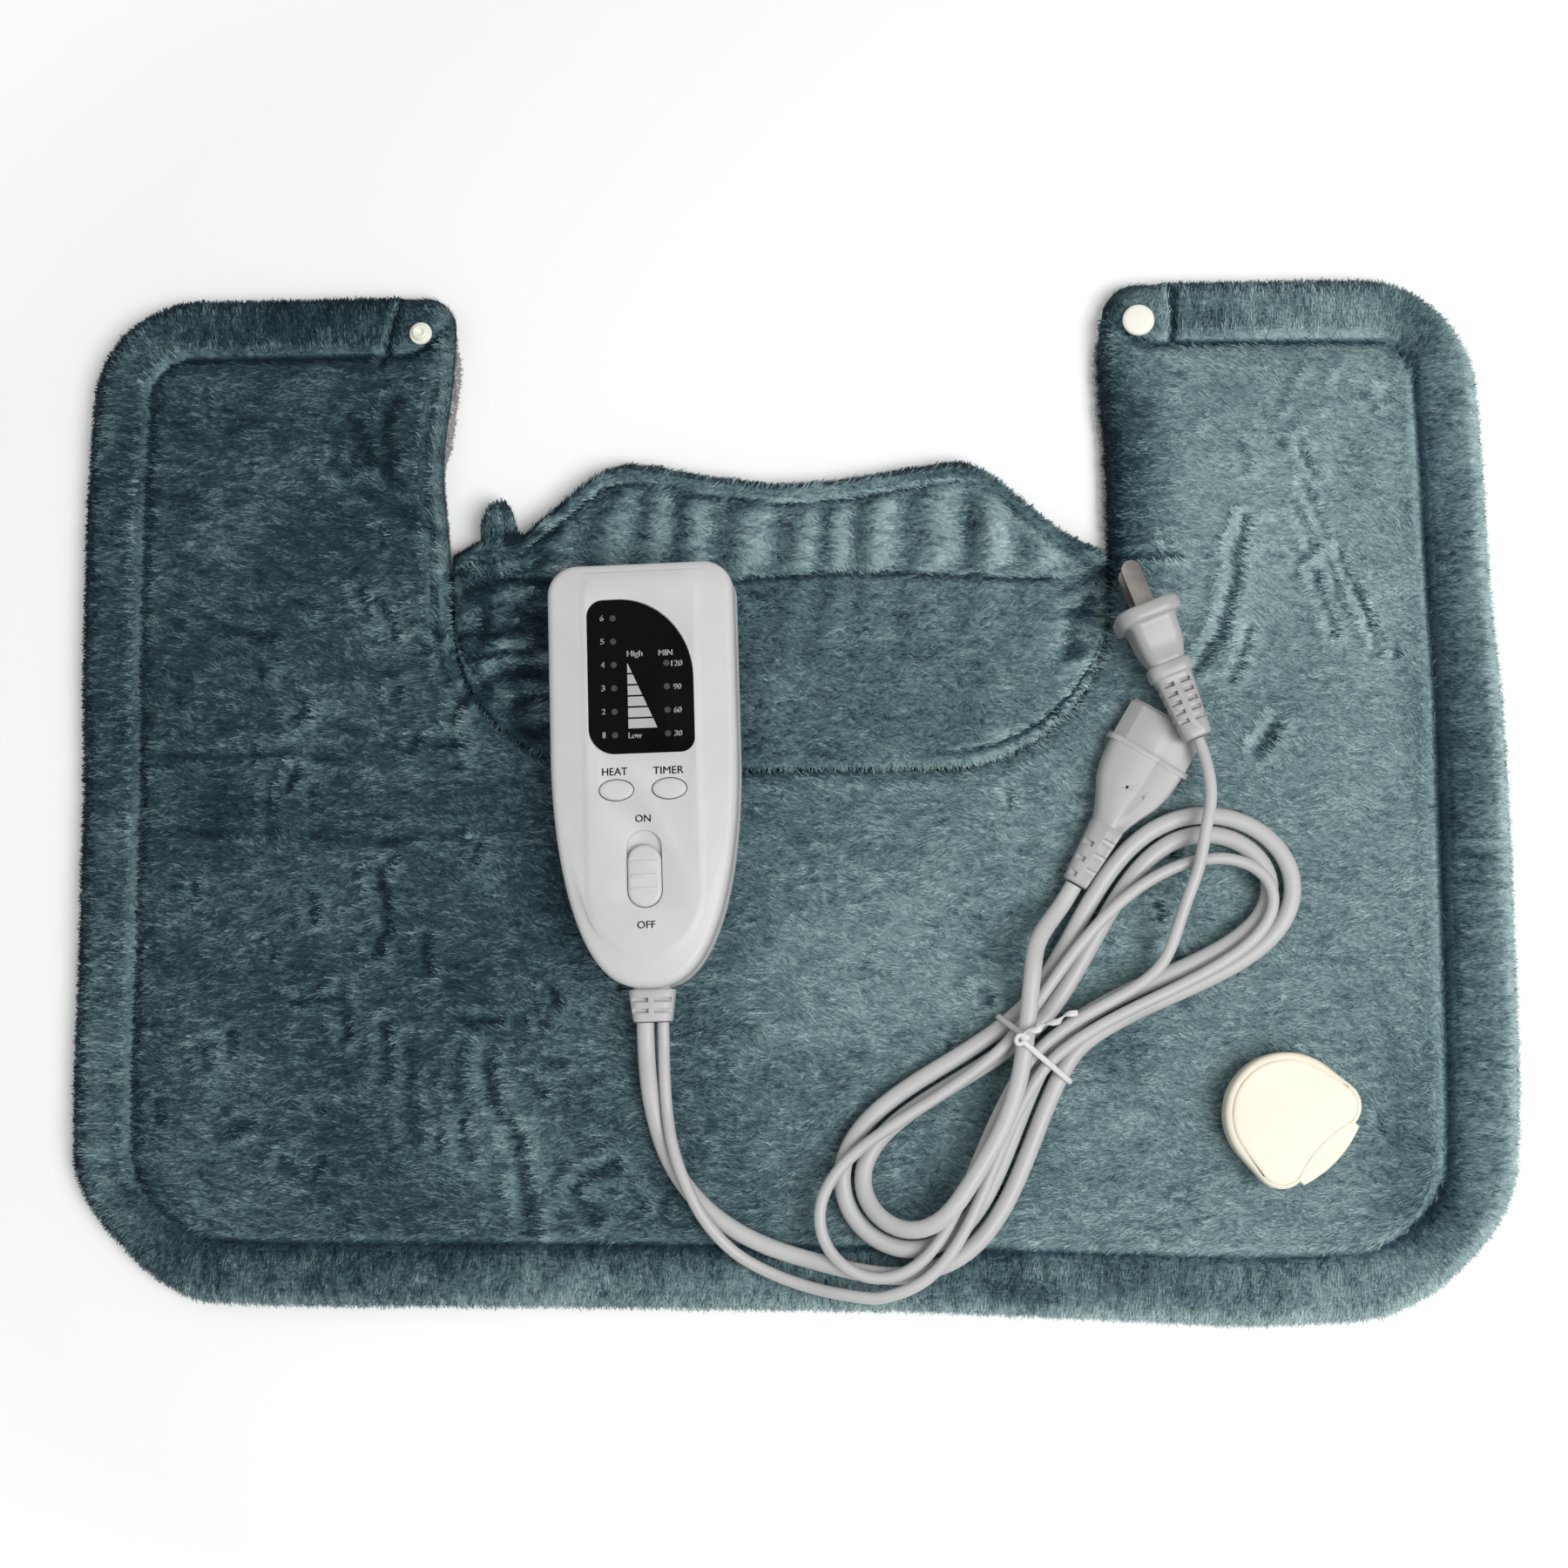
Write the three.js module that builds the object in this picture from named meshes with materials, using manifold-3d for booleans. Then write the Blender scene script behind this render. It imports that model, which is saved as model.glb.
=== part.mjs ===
// Neck and shoulder heating pad with a hand controller, a pad connector and a mains plug.
// Millimetres, +Z up. The pad lies flat on Z = 0 with its neck opening towards +Y.
import * as THREE from 'three';
import { mergeVertices } from 'three/addons/utils/BufferGeometryUtils.js';
import Module from 'manifold-3d';

const wasm = await Module();
wasm.setup();

// Fits
const CLEAR = 0.3;
const RUN = 0.35;

// Pad outline
const PAD_WIDTH = 465;
const PAD_DEPTH = 336;
const LOW_CORNER_R = 48;
const TOP_CORNER_R = 35;
const TIP_R = 10;
const TIP_LENGTH = 20;
const CROSS_SEAM = 5;
const NECK_HALF = 109;
const NECK_BOTTOM_Y = 6;
const NECK_R = 55;

// Pad layers, from the underside up
const BACK_T = 3;
const CARRIER_T = 0.8;
const WIRE_D = 2.4;
const BATTING_T = 3;
const FRONT_T = 3;

// Border roll of the front cover, and the pocket under the cover
const BAND = 21.5;
const CHANNEL_DEPTH = 3.6;
const ROLL_SHOULDER = 3.5;
const CHANNEL_HALF = 4.5;
const GIRTH_Z = 6.5;
const NECK_EDGE = 3.6;
const POCKET_INSET = 28;
const POCKET_NECK = 14;
const HEM = 3;

// Heating wire and thermal cut-out
const WIRE_RUNS = 16;
const WIRE_SIDE_MARGIN = 14;
const WIRE_END_MARGIN = 10;
const WIRE_RETURN_GAP = 3.6;
const SOCKET_CLEAR_Y = -62;
const CUTOUT_SIZE = [14, 7, 2];
const CUTOUT_Y = -80;

// Collar that stands up behind the neck when the pad is worn
const COLLAR_GAP = 0.4;
const COLLAR_END_Y = 76;
const COLLAR_PEAK_Y = 106;
const COLLAR_PEAK_X = 52;
const COLLAR_MID_Y = 100;
const GATHER_PITCH = 14.7;
const GATHER_DEPTH = 1.3;

// Snap fasteners on the flap tips
const SNAP_FROM_NECK = 10.2;
const SNAP_FROM_TOP = 14.7;
const SNAP_CAP_R = 5.2;
const SNAP_STUD_R = 3.75;
const SNAP_POST_R = 1.5;
const SNAP_UNDER_T = 1.6;

// Pad socket
const SOCKET_FROM_SIDE = 71.5;
const SOCKET_FROM_LOW = 63;
const SOCKET_TURN = -43.7;
const SOCKET_REAR_R = 19.5;
const SOCKET_REAR_X = -0.6;
const SOCKET_LOBE_R = 8.1;
const SOCKET_LOBE_X = 7.6;
const SOCKET_LOBE_Y = 12.2;
const LIP_BULGE = 3.4;
const LID_NOTCH = 0.6;
const SOCKET_FLOOR = 1.4;
const LID_T = 3.2;
const SOCKET_WALL_X = -1;
const SOCKET_STOP_X = 1.5;
const SOCKET_REAR_ROOM = 12;
const PIN_SIZE = 1.6;
const PIN_REACH = 7;
const BACK_PLATE_T = 1.6;
const STAKE_R = 1.5;
const STAKE_X = -9;
const STAKE_Y = 12.2;

// Pad connector
const NOSE_W = 26;
const NOSE_T = 6;
const NOSE_L = 13.5;
const NOSE_PLAY = 0.4;
const NOSE_TOP_W = 15;
const CONNECTOR_AT = [119.4, 8.7];
const CONNECTOR_TURN = 60;
const FLANGE_W = 29;
const FLANGE_T = 2;
const FLANGE_H = 9;
const GRIP_L = 26;
const GRIP_W = 26;
const GRIP_H = 8.4;
const GRIP_END_W = 10.5;
const GRIP_BOOT_L = 20;
const GRIP_BOOT_END = 8;
const CONTACT_PITCH = 10;

// Controller
const CTRL_AT = [-40, 2];
const CTRL_TURN = 1.86;
const CTRL_L = 135.3;
const CTRL_W = 59.6;
const CTRL_H = 24;
const CTRL_PARTING = 11;
const CTRL_CORNER_R = 9.5;
const CTRL_TAPER_L = 74.4;
const CTRL_TAPER_POWER = 2.6;
const CTRL_WALL = 2.2;
const PLATEAU_INSET = 11;
const PLATEAU_RISE = 1.4;
const EDGE_R = 2.8;

// Lens and indicator lights
const LENS_W = 33.3;
const LENS_L = 50.2;
const LENS_TOP_MARGIN = 12.25;
const LENS_T = 1.2;
const LENS_R = 4.5;
const LENS_BIG_R = 17;
const LED_R = 1.5;
const LED_X = 8.4;
const LED_PITCH = 7.7;
const LED_MARGIN = 5.9;
const HEAT_LEVELS = 6;
const TIMER_STEPS = 4;

// Circuit board
const BOARD_T = 1.6;
const BOARD_Z = 12;
const BOARD_INSET = 4.6;

// Push buttons
const BUTTON_W = 10.8;
const BUTTON_L = 6.5;
const BUTTON_X = 8.4;
const BUTTON_DROP = 10.65;
const BUTTON_PROUD = 0.9;
const BUTTON_TRAVEL = 0.8;
const BUTTON_FLANGE = 1.2;
const BUTTON_FLANGE_T = 1.2;
const SWITCH_SIZE = 6;
const SWITCH_H = 3.5;

// Power slider
const SLOT_W = 11.1;
const SLOT_L = 24.4;
const SLOT_LOW_MARGIN = 24.85;
const SLIDER_TRAVEL = 4.4;
const SLIDER_PROUD = 1.4;
const SLIDER_RIB = 0.7;
const SLIDER_RIB_W = 1.4;
const SLIDER_RIB_PITCH = 4.2;
const SLIDER_SKIRT = 1.4;
const SLIDER_SKIRT_T = 1.4;
const SLIDER_PIN = 3;
const SLIDE_SWITCH_W = 9;
const SLIDE_SWITCH_L = 18;
const SLIDE_SWITCH_H = 4;

// Housing screws
const SCREW_SIDE_MARGIN = 8.8;
const SCREW_TOP_MARGIN = 9.15;
const SCREW_LOW_SIDE = 9.8;
const SCREW_LOW_MARGIN = 37.65;
const SCREW_R = 1.1;
const SCREW_HEAD_R = 2.3;
const SCREW_HEAD_T = 1.8;
const SCREW_SINK = 0.6;
const BOSS_R = 3.4;

// Cord gland
const GLAND_W = 15;
const GLAND_END_W = 12.4;
const GLAND_H = 9;
const GLAND_END_H = 8;
const GLAND_L = 10.4;
const GLAND_NECK_W = 12;
const GLAND_NECK_H = 7.4;
const GLAND_FLANGE_T = 2;

// Cords
const PAD_CORD_D = 5.6;
const MAINS_CORD_D = 3.8;
const HANK_AT = [81, -83];
const HANK_TURN = 49;
const HANK_BEND = 15.5;
const HANK_BEND_SOFT = 30;
const HANK_REACH = 98;
const HANK_PINCH = 1.6;
const LOOP_STEPS = 30;
const PAD_STRAND_GAP = 1;
const MAINS_STRAND_GAP = 1.4;
const LAYER_GAP = 0.6;
const TIE_T = 0.8;
const TIE_W = 3;
const TIE_TAIL_D = 1.6;

// Mains plug
const PLUG_FACE_AT = [118.3, 54.8];
const PLUG_TURN = -68.6;
const PLUG_FACE_W = 21;
const PLUG_FACE_H = 26;
const PLUG_FACE_T = 5.2;
const PLUG_BODY_W = 15;
const PLUG_BODY_H = 21;
const PLUG_BODY_L = 14;
const PLUG_NECK_W = 11.5;
const PLUG_NECK_H = 13;
const PLUG_COLLAR_L = 4.5;
const PLUG_COLLAR_W = 14;
const PLUG_BOOT_L = 21;
const PLUG_BOOT_END = 9;
const BLADE_W = 6.35;
const BLADE_T = 1.5;
const BLADE_L = 15;
const BLADE_PITCH = 12.7;
const TANG_W = 5;
const TANG_T = 1.1;
const TANG_L = 3;
const BOOT_SLOTS = 5;
const SLOT_CUT = [1.5, 3.6, 1.2];

// Levels worked out from the layers
const CARRIER_Z = BACK_T + CLEAR;
const WIRE_Z = CARRIER_Z + CARRIER_T + CLEAR + WIRE_D / 2;
const BATTING_Z = WIRE_Z + WIRE_D / 2 + CLEAR;
const CEILING_Z = BATTING_Z + BATTING_T + CLEAR;
const PAD_TOP = CEILING_Z + FRONT_T;
const REST_Z = PAD_TOP + CLEAR;

// Places worked out from the outlines
const SNAP_X = NECK_HALF + SNAP_FROM_NECK;
const SNAP_Y = PAD_DEPTH / 2 - SNAP_FROM_TOP;
const SOCKET_AT = [PAD_WIDTH / 2 - SOCKET_FROM_SIDE, SOCKET_FROM_LOW - PAD_DEPTH / 2];
const LENS_TOP_Y = CTRL_L / 2 - LENS_TOP_MARGIN;
const BUTTON_Y = LENS_TOP_Y - LENS_L - BUTTON_DROP;
const SLOT_BOTTOM_Y = SLOT_LOW_MARGIN - CTRL_L / 2;
const SCREW_HIGH_X = CTRL_W / 2 - SCREW_SIDE_MARGIN;
const SCREW_LOW_X = CTRL_W / 2 - SCREW_LOW_SIDE;
const SCREW_SPOTS = [
  [-SCREW_HIGH_X, CTRL_L / 2 - SCREW_TOP_MARGIN],
  [SCREW_HIGH_X, CTRL_L / 2 - SCREW_TOP_MARGIN],
  [-SCREW_LOW_X, SCREW_LOW_MARGIN - CTRL_L / 2],
  [SCREW_LOW_X, SCREW_LOW_MARGIN - CTRL_L / 2],
];

const root = new THREE.Group();

// Materials
const paint = (color, roughness, metalness = 0) =>
  new THREE.MeshStandardMaterial({ color, roughness, metalness });
const plush = paint(0x5d7b80, 1);
const lining = paint(0x8f9a9c, 1);
const felt = paint(0xe4e0d6, 1);
const cream = paint(0xf8f2df, 0.45);
const white = paint(0xd4d4d4, 0.4);
const cordWhite = paint(0xd2d2d2, 0.5);
const gloss = paint(0x0c0c0c, 0.12);
const led = paint(0x5a5a5a, 0.3);
const board = paint(0x2f6b3c, 0.6);
const black = paint(0x1c1c1c, 0.5);
const metal = paint(0xb8b8b8, 0.3, 1);
const wireRed = paint(0xb04a3a, 0.5);

// Shape helpers
const radians = THREE.MathUtils.degToRad;

function solid(geometry) {
  const bare = geometry.clone();
  bare.deleteAttribute('normal');
  bare.deleteAttribute('uv');
  const merged = mergeVertices(bare, 1e-4);
  const vertProperties = new Float32Array(merged.attributes.position.array);
  const triVerts = new Uint32Array(merged.index.array);
  return new wasm.Manifold(new wasm.Mesh({ numProp: 3, vertProperties, triVerts }));
}

function geometryOf(manifold) {
  const mesh = manifold.getMesh();
  const geometry = new THREE.BufferGeometry();
  geometry.setAttribute('position', new THREE.BufferAttribute(mesh.vertProperties, 3));
  geometry.setIndex(new THREE.BufferAttribute(mesh.triVerts, 1));
  geometry.computeVertexNormals();
  return geometry;
}

function cut(base, ...tools) {
  return geometryOf(tools.reduce((rest, tool) => rest.subtract(solid(tool)), solid(base)));
}

function join(base, ...more) {
  return geometryOf(more.reduce((sum, piece) => sum.add(solid(piece)), solid(base)));
}

function box(x0, x1, y0, y1, z0, z1) {
  const geometry = new THREE.BoxGeometry(x1 - x0, y1 - y0, z1 - z0);
  return geometry.translate((x0 + x1) / 2, (y0 + y1) / 2, (z0 + z1) / 2);
}

function rod(x, y, z0, z1, radius, sides = 16) {
  const geometry = new THREE.CylinderGeometry(radius, radius, z1 - z0, sides);
  return geometry.rotateX(Math.PI / 2).translate(x, y, (z0 + z1) / 2);
}

// A body of revolution about a vertical axis, from [radius, height] pairs.
function turned(profile, sides = 16) {
  const points = profile.map(([r, z]) => new THREE.Vector2(r, z));
  return new THREE.LatheGeometry(points, sides).rotateX(Math.PI / 2);
}

function prism(shape, z0, z1, curveSegments = 5) {
  const options = { depth: z1 - z0, bevelEnabled: false, curveSegments };
  return new THREE.ExtrudeGeometry(shape, options).translate(0, 0, z0);
}

function roundedRect(width, length, radius) {
  const x = width / 2;
  const y = length / 2;
  const shape = new THREE.Shape();
  shape.absarc(x - radius, y - radius, radius, 0, Math.PI / 2);
  shape.absarc(radius - x, y - radius, radius, Math.PI / 2, Math.PI);
  shape.absarc(radius - x, radius - y, radius, Math.PI, 1.5 * Math.PI);
  shape.absarc(x - radius, radius - y, radius, 1.5 * Math.PI, 2 * Math.PI);
  return shape;
}

function ellipse(width, length) {
  const shape = new THREE.Shape();
  shape.absellipse(0, 0, width / 2, length / 2, 0, 2 * Math.PI);
  return shape;
}

// Triangles of a flat ring of points, turned to face up or down.
function capFaces(ring, first, up) {
  const flat = ring.map((p) => new THREE.Vector2(p.x, p.y));
  return THREE.ShapeUtils.triangulateShape(flat, []).flatMap(([a, b, c]) => {
    const area = THREE.ShapeUtils.area([flat[a], flat[b], flat[c]]);
    const order = area > 0 === up ? [a, b, c] : [a, c, b];
    return order.map((i) => first + i);
  });
}

// A closed body through rings of equal count, counterclockwise from above, capped at both ends.
function loft(rings) {
  const count = rings[0].length;
  const last = rings.length - 1;
  const index = capFaces(rings[0], 0, false);
  for (let r = 0; r < last; r += 1) {
    for (let i = 0; i < count; i += 1) {
      const a = r * count + i;
      const b = r * count + ((i + 1) % count);
      index.push(a, b, b + count, a, b + count, a + count);
    }
  }
  index.push(...capFaces(rings[last], last * count, true));
  const positions = rings.flat().flatMap((p) => [p.x, p.y, p.z]);
  const geometry = new THREE.BufferGeometry();
  geometry.setAttribute('position', new THREE.Float32BufferAttribute(positions, 3));
  geometry.setIndex(index);
  geometry.computeVertexNormals();
  return geometry;
}

function arc(cx, cy, radius, from, to, steps) {
  return Array.from({ length: steps + 1 }, (_, i) => {
    const angle = radians(from + ((to - from) * i) / steps);
    return [cx + radius * Math.cos(angle), cy + radius * Math.sin(angle)];
  });
}

const atHeight = (points, z) => points.map(([x, y]) => new THREE.Vector3(x, y, z));

// A ring of a rounded rectangle, for bodies that change section along their length.
function sectionRing(width, height, radius, z) {
  const r = Math.min(radius, width / 2 - 0.1, height / 2 - 0.1);
  const x = width / 2 - r;
  const y = height / 2 - r;
  const corners = [[x, y, 0], [-x, y, 90], [-x, -y, 180], [x, -y, 270]];
  const points = corners.flatMap(([cx, cy, start]) => arc(cx, cy, r, start, start + 90, 3));
  return atHeight(points, z);
}

function place(name, geometry, material, parent = root) {
  const mesh = new THREE.Mesh(geometry, material);
  mesh.name = name;
  parent.add(mesh);
  return mesh;
}

function groupAt(x, y, z, turn) {
  const group = new THREE.Group();
  group.position.set(x, y, z);
  group.rotation.z = radians(turn);
  root.add(group);
  return group;
}

// Pad outline ring, drawn in by its own distance along the border, the flap tips and the neck.
function padRing({ outer, tip, neck, z, zNeck = z }) {
  const right = [];
  const put = (points, height) => right.push(...atHeight(points, height));
  const corner = (radius, sideY, from) => {
    const r = Math.max(radius - outer, 0.5);
    const cx = PAD_WIDTH / 2 - outer - r;
    const cy = sideY * (PAD_DEPTH / 2 - outer - r);
    put(arc(cx, cy, r, from, from + 90, 7), z);
  };
  corner(LOW_CORNER_R, -1, -90);
  corner(TOP_CORNER_R, 1, 0);
  const seamX = NECK_HALF + TIP_LENGTH;
  put([[seamX + CROSS_SEAM, PAD_DEPTH / 2 - outer]], z);
  put([[seamX, PAD_DEPTH / 2 - tip]], zNeck);
  const r = Math.max(TIP_R - Math.max(tip, neck), 0.5);
  put(arc(NECK_HALF + neck + r, PAD_DEPTH / 2 - tip - r, r, 90, 180, 4), zNeck);
  put(arc(NECK_HALF - NECK_R, NECK_BOTTOM_Y + NECK_R, NECK_R + neck, 0, -90, 8), zNeck);
  const left = right.map((p) => new THREE.Vector3(-p.x, p.y, p.z)).reverse();
  return [...right, ...left];
}

const evenRing = (inset, z) => padRing({ outer: inset, tip: inset, neck: inset, z });

function pocketRing(extra, z) {
  const inset = POCKET_INSET + extra;
  return padRing({ outer: inset, tip: inset, neck: POCKET_NECK + extra, z });
}

// Snap holes and socket holes run through the covers at these places.
const snapSpots = [-SNAP_X, SNAP_X].map((x) => [x, SNAP_Y]);
const snapHole = ([x, y], z0, z1) => rod(x, y, z0, z1, SNAP_POST_R + CLEAR, 12);

function socketToPad(geometry) {
  return geometry.rotateZ(radians(SOCKET_TURN)).translate(SOCKET_AT[0], SOCKET_AT[1], 0);
}

const stakeSpots = [-STAKE_Y, STAKE_Y].map((y) => [STAKE_X, y]);
const pinSpots = [-CONTACT_PITCH / 2, CONTACT_PITCH / 2];
const pinTailX = SOCKET_WALL_X - PIN_SIZE - 1;

function socketHoles(z0, z1) {
  const stakes = stakeSpots.map(([x, y]) => rod(x, y, z0, z1, STAKE_R + CLEAR, 12));
  const half = PIN_SIZE / 2 + CLEAR;
  const pins = pinSpots.map((y) =>
    box(pinTailX - half, pinTailX + half, y - half, y + half, z0, z1));
  return [...stakes, ...pins].map(socketToPad);
}

// Front cover: border roll, stitched channel, flat middle and the pocket under it.
function frontCover() {
  const floor = BACK_T + CLEAR;
  const low = PAD_TOP - CHANNEL_DEPTH;
  const shoulder = PAD_TOP - 2.4;
  const slope = PAD_TOP - 1.2;
  const edge = (share) => NECK_EDGE * share;
  const step = (outer, share, z, zNeck) =>
    padRing({ outer, tip: edge(share), neck: edge(share), z, zNeck });
  const rings = [
    pocketRing(0, CEILING_Z),
    pocketRing(0, floor),
    step(HEM, 0.5, floor),
    step(0, 0, GIRTH_Z, GIRTH_Z),
    step(ROLL_SHOULDER, 0.25, shoulder, shoulder),
    step(BAND / 2, 0.6, PAD_TOP, slope),
    step(BAND - CHANNEL_HALF, 0.85, slope, PAD_TOP - 0.3),
    step(BAND, 1, low, PAD_TOP),
    step(BAND + CHANNEL_HALF, 1.15, slope, PAD_TOP),
    step(BAND + 2.6 * CHANNEL_HALF, 1.3, PAD_TOP, PAD_TOP),
  ];
  const snaps = snapSpots.map((spot) => snapHole(spot, 0, PAD_TOP + 1));
  return cut(loft(rings), ...snaps, ...socketHoles(CEILING_Z - 1, PAD_TOP + 1));
}

// Back cover: a plain sheet with the snap pieces sunk in its underside.
function backCover() {
  const rings = [evenRing(HEM, 0), evenRing(0.8, BACK_T / 2), evenRing(0.8, BACK_T)];
  const sunk = CLEAR + SNAP_UNDER_T + CLEAR;
  const tools = snapSpots.flatMap(([x, y]) => [
    snapHole([x, y], -1, BACK_T + 1),
    rod(x, y, -1, sunk, SNAP_CAP_R + CLEAR, 20),
  ]);
  return cut(loft(rings), ...tools);
}

function batting() {
  const top = BATTING_Z + BATTING_T;
  const sheet = loft([pocketRing(CLEAR, BATTING_Z), pocketRing(CLEAR, top)]);
  const well = loft([
    socketRing(CLEAR * -1, LIP_BULGE, BATTING_Z - 1),
    socketRing(CLEAR * -1, LIP_BULGE, top + 1),
  ]);
  return cut(sheet, socketToPad(well));
}

function heaterCarrier() {
  return loft([pocketRing(CLEAR, CARRIER_Z), pocketRing(CLEAR, CARRIER_Z + CARRIER_T)]);
}

// Centre line of the heating wire: up and down runs joined by half turns, and the way back.
function wirePoints() {
  const halfSpan = PAD_WIDTH / 2 - POCKET_INSET - WIRE_SIDE_MARGIN;
  const pitch = (2 * halfSpan) / (WIRE_RUNS - 1);
  const turn = pitch / 2;
  const xOf = (run) => run * pitch - halfSpan;
  const inFlap = (run) => Math.abs(xOf(run)) > NECK_HALF + POCKET_NECK + WIRE_D;
  const flapTop = PAD_DEPTH / 2 - POCKET_INSET - WIRE_END_MARGIN - turn;
  const bodyTop = NECK_BOTTOM_Y - POCKET_NECK - WIRE_END_MARGIN - turn;
  const backY = -PAD_DEPTH / 2 + POCKET_INSET + WIRE_D;
  const bodyLow = backY + WIRE_RETURN_GAP + turn;
  const lowOf = (run) => (xOf(run) > NECK_HALF ? SOCKET_CLEAR_Y : bodyLow);
  const points = [[SOCKET_AT[0] - 12, SOCKET_AT[1] - 8], [SOCKET_AT[0] - 16, backY]];
  points.push([xOf(0) + turn, backY], [xOf(0) + 0.3 * turn, backY + 0.3 * turn]);
  for (let run = 0; run < WIRE_RUNS; run += 1) {
    if (run % 2 === 0) {
      const top = inFlap(run) && inFlap(run + 1) ? flapTop : bodyTop;
      points.push([xOf(run), lowOf(run)]);
      points.push(...arc(xOf(run) + turn, top, turn, 180, 0, 5));
    } else if (run + 1 < WIRE_RUNS) {
      const low = Math.max(lowOf(run), lowOf(run + 1));
      points.push(...arc(xOf(run) + turn, low, turn, 180, 360, 5));
    } else {
      points.push([xOf(run), SOCKET_CLEAR_Y], [xOf(run) - 4, SOCKET_AT[1] + 12]);
      points.push([SOCKET_AT[0] + 14, SOCKET_AT[1] + 2]);
    }
  }
  return points.map(([x, y]) => new THREE.Vector3(x, y, WIRE_Z));
}

// A tube of flat-sided rings along given centre points, with square ends.
function tube(points, diameter, sides) {
  const last = points.length - 1;
  const up = new THREE.Vector3(0, 0, 1);
  const rings = points.map((point, i) => {
    const ahead = points[Math.min(i + 1, last)];
    const behind = points[Math.max(i - 1, 0)];
    const along = ahead.clone().sub(behind).normalize();
    const side = up.clone().cross(along).normalize();
    const rise = along.clone().cross(side);
    return Array.from({ length: sides }, (_, k) => {
      const angle = (2 * Math.PI * (k + 0.5)) / sides;
      const out = side.clone().multiplyScalar(Math.cos(angle) * (diameter / 2));
      return point.clone().add(out).addScaledVector(rise, Math.sin(angle) * (diameter / 2));
    });
  });
  const index = [];
  for (let r = 0; r < last; r += 1) {
    for (let k = 0; k < sides; k += 1) {
      const a = r * sides + k;
      const b = r * sides + ((k + 1) % sides);
      index.push(a, b, b + sides, a, b + sides, a + sides);
    }
  }
  for (let k = 1; k + 1 < sides; k += 1) {
    index.push(0, k + 1, k);
    index.push(last * sides, last * sides + k, last * sides + k + 1);
  }
  const positions = rings.flat().flatMap((p) => [p.x, p.y, p.z]);
  const geometry = new THREE.BufferGeometry();
  geometry.setAttribute('position', new THREE.Float32BufferAttribute(positions, 3));
  geometry.setIndex(index);
  geometry.computeVertexNormals();
  return geometry;
}

function thermalCutout() {
  const [length, width, height] = CUTOUT_SIZE;
  const base = CARRIER_Z + CARRIER_T + CLEAR;
  return prism(roundedRect(width, length, 1.5), base, base + height).translate(0, CUTOUT_Y, 0);
}

// Collar: a gathered panel inside the neck opening, lying down, with a rolled upper edge.
function collar() {
  const half = NECK_HALF - COLLAR_GAP;
  const bendR = NECK_R - COLLAR_GAP;
  const smooth = (t) => t * t * (3 - 2 * t);
  const lowerY = (x) => {
    const past = Math.max(Math.abs(x) - (half - bendR), 0);
    return NECK_BOTTOM_Y + COLLAR_GAP + bendR - Math.sqrt(Math.max(bendR ** 2 - past ** 2, 0));
  };
  const upperY = (x) => {
    const away = Math.abs(x);
    if (away < COLLAR_PEAK_X) {
      return COLLAR_MID_Y + (COLLAR_PEAK_Y - COLLAR_MID_Y) * smooth(away / COLLAR_PEAK_X);
    }
    const share = (away - COLLAR_PEAK_X) / (half - COLLAR_PEAK_X);
    return COLLAR_PEAK_Y - (COLLAR_PEAK_Y - COLLAR_END_Y) * smooth(share);
  };
  // Each row: share of the way up, height below the pad's top, and share of the gathers
  const rows = [
    [0, -7, 0],
    [0.05, -2.4, 0],
    [0.28, 0, 0],
    [0.55, 0, 0],
    [0.62, -1.8, 0.2],
    [0.69, 0.2, 1],
    [0.8, 0.6, 1],
    [0.87, -1.6, 0.4],
    [0.94, 1.4, 0.3],
    [1, -6, 0],
  ];
  const columns = 44;
  const top = [];
  const bottom = [];
  for (let c = 0; c <= columns; c += 1) {
    const x = half * ((2 * c) / columns - 1);
    const gather = GATHER_DEPTH * Math.cos((2 * Math.PI * x) / GATHER_PITCH);
    rows.forEach(([share, drop, gathered]) => {
      const y = lowerY(x) + (upperY(x) - lowerY(x)) * share;
      const ends = 1 - Math.max(Math.abs(x) / half - 0.93, 0) / 0.07;
      const crown = PAD_TOP + drop + gather * gathered;
      top.push(new THREE.Vector3(x, y, GIRTH_Z + (crown - GIRTH_Z) * Math.sqrt(ends)));
      bottom.push(new THREE.Vector3(x, y, 0));
    });
  }
  const deep = rows.length;
  const under = top.length;
  const index = [];
  const quad = (a, b, c, d) => index.push(a, b, c, a, c, d);
  for (let c = 0; c < columns; c += 1) {
    const p = c * deep;
    const q = p + deep;
    for (let r = 0; r + 1 < deep; r += 1) {
      quad(p + r, q + r, q + r + 1, p + r + 1);
      quad(under + p + r, under + p + r + 1, under + q + r + 1, under + q + r);
    }
    quad(under + p, under + q, q, p);
    quad(p + deep - 1, q + deep - 1, under + q + deep - 1, under + p + deep - 1);
  }
  const far = columns * deep;
  for (let r = 0; r + 1 < deep; r += 1) {
    quad(r, r + 1, under + r + 1, under + r);
    quad(far + r, under + far + r, under + far + r + 1, far + r + 1);
  }
  const positions = [...top, ...bottom].flatMap((p) => [p.x, p.y, p.z]);
  const geometry = new THREE.BufferGeometry();
  geometry.setAttribute('position', new THREE.Float32BufferAttribute(positions, 3));
  geometry.setIndex(index);
  geometry.computeVertexNormals();
  return geometry;
}

place('pad_front_cover', frontCover(), plush);
place('pad_back_cover', backCover(), lining);
place('batting', batting(), felt);
place('heater_carrier', heaterCarrier(), felt);
place('heating_wire', tube(wirePoints(), WIRE_D, 6), wireRed);
place('thermal_cutout', thermalCutout(), black);
place('collar', collar(), plush);

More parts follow.
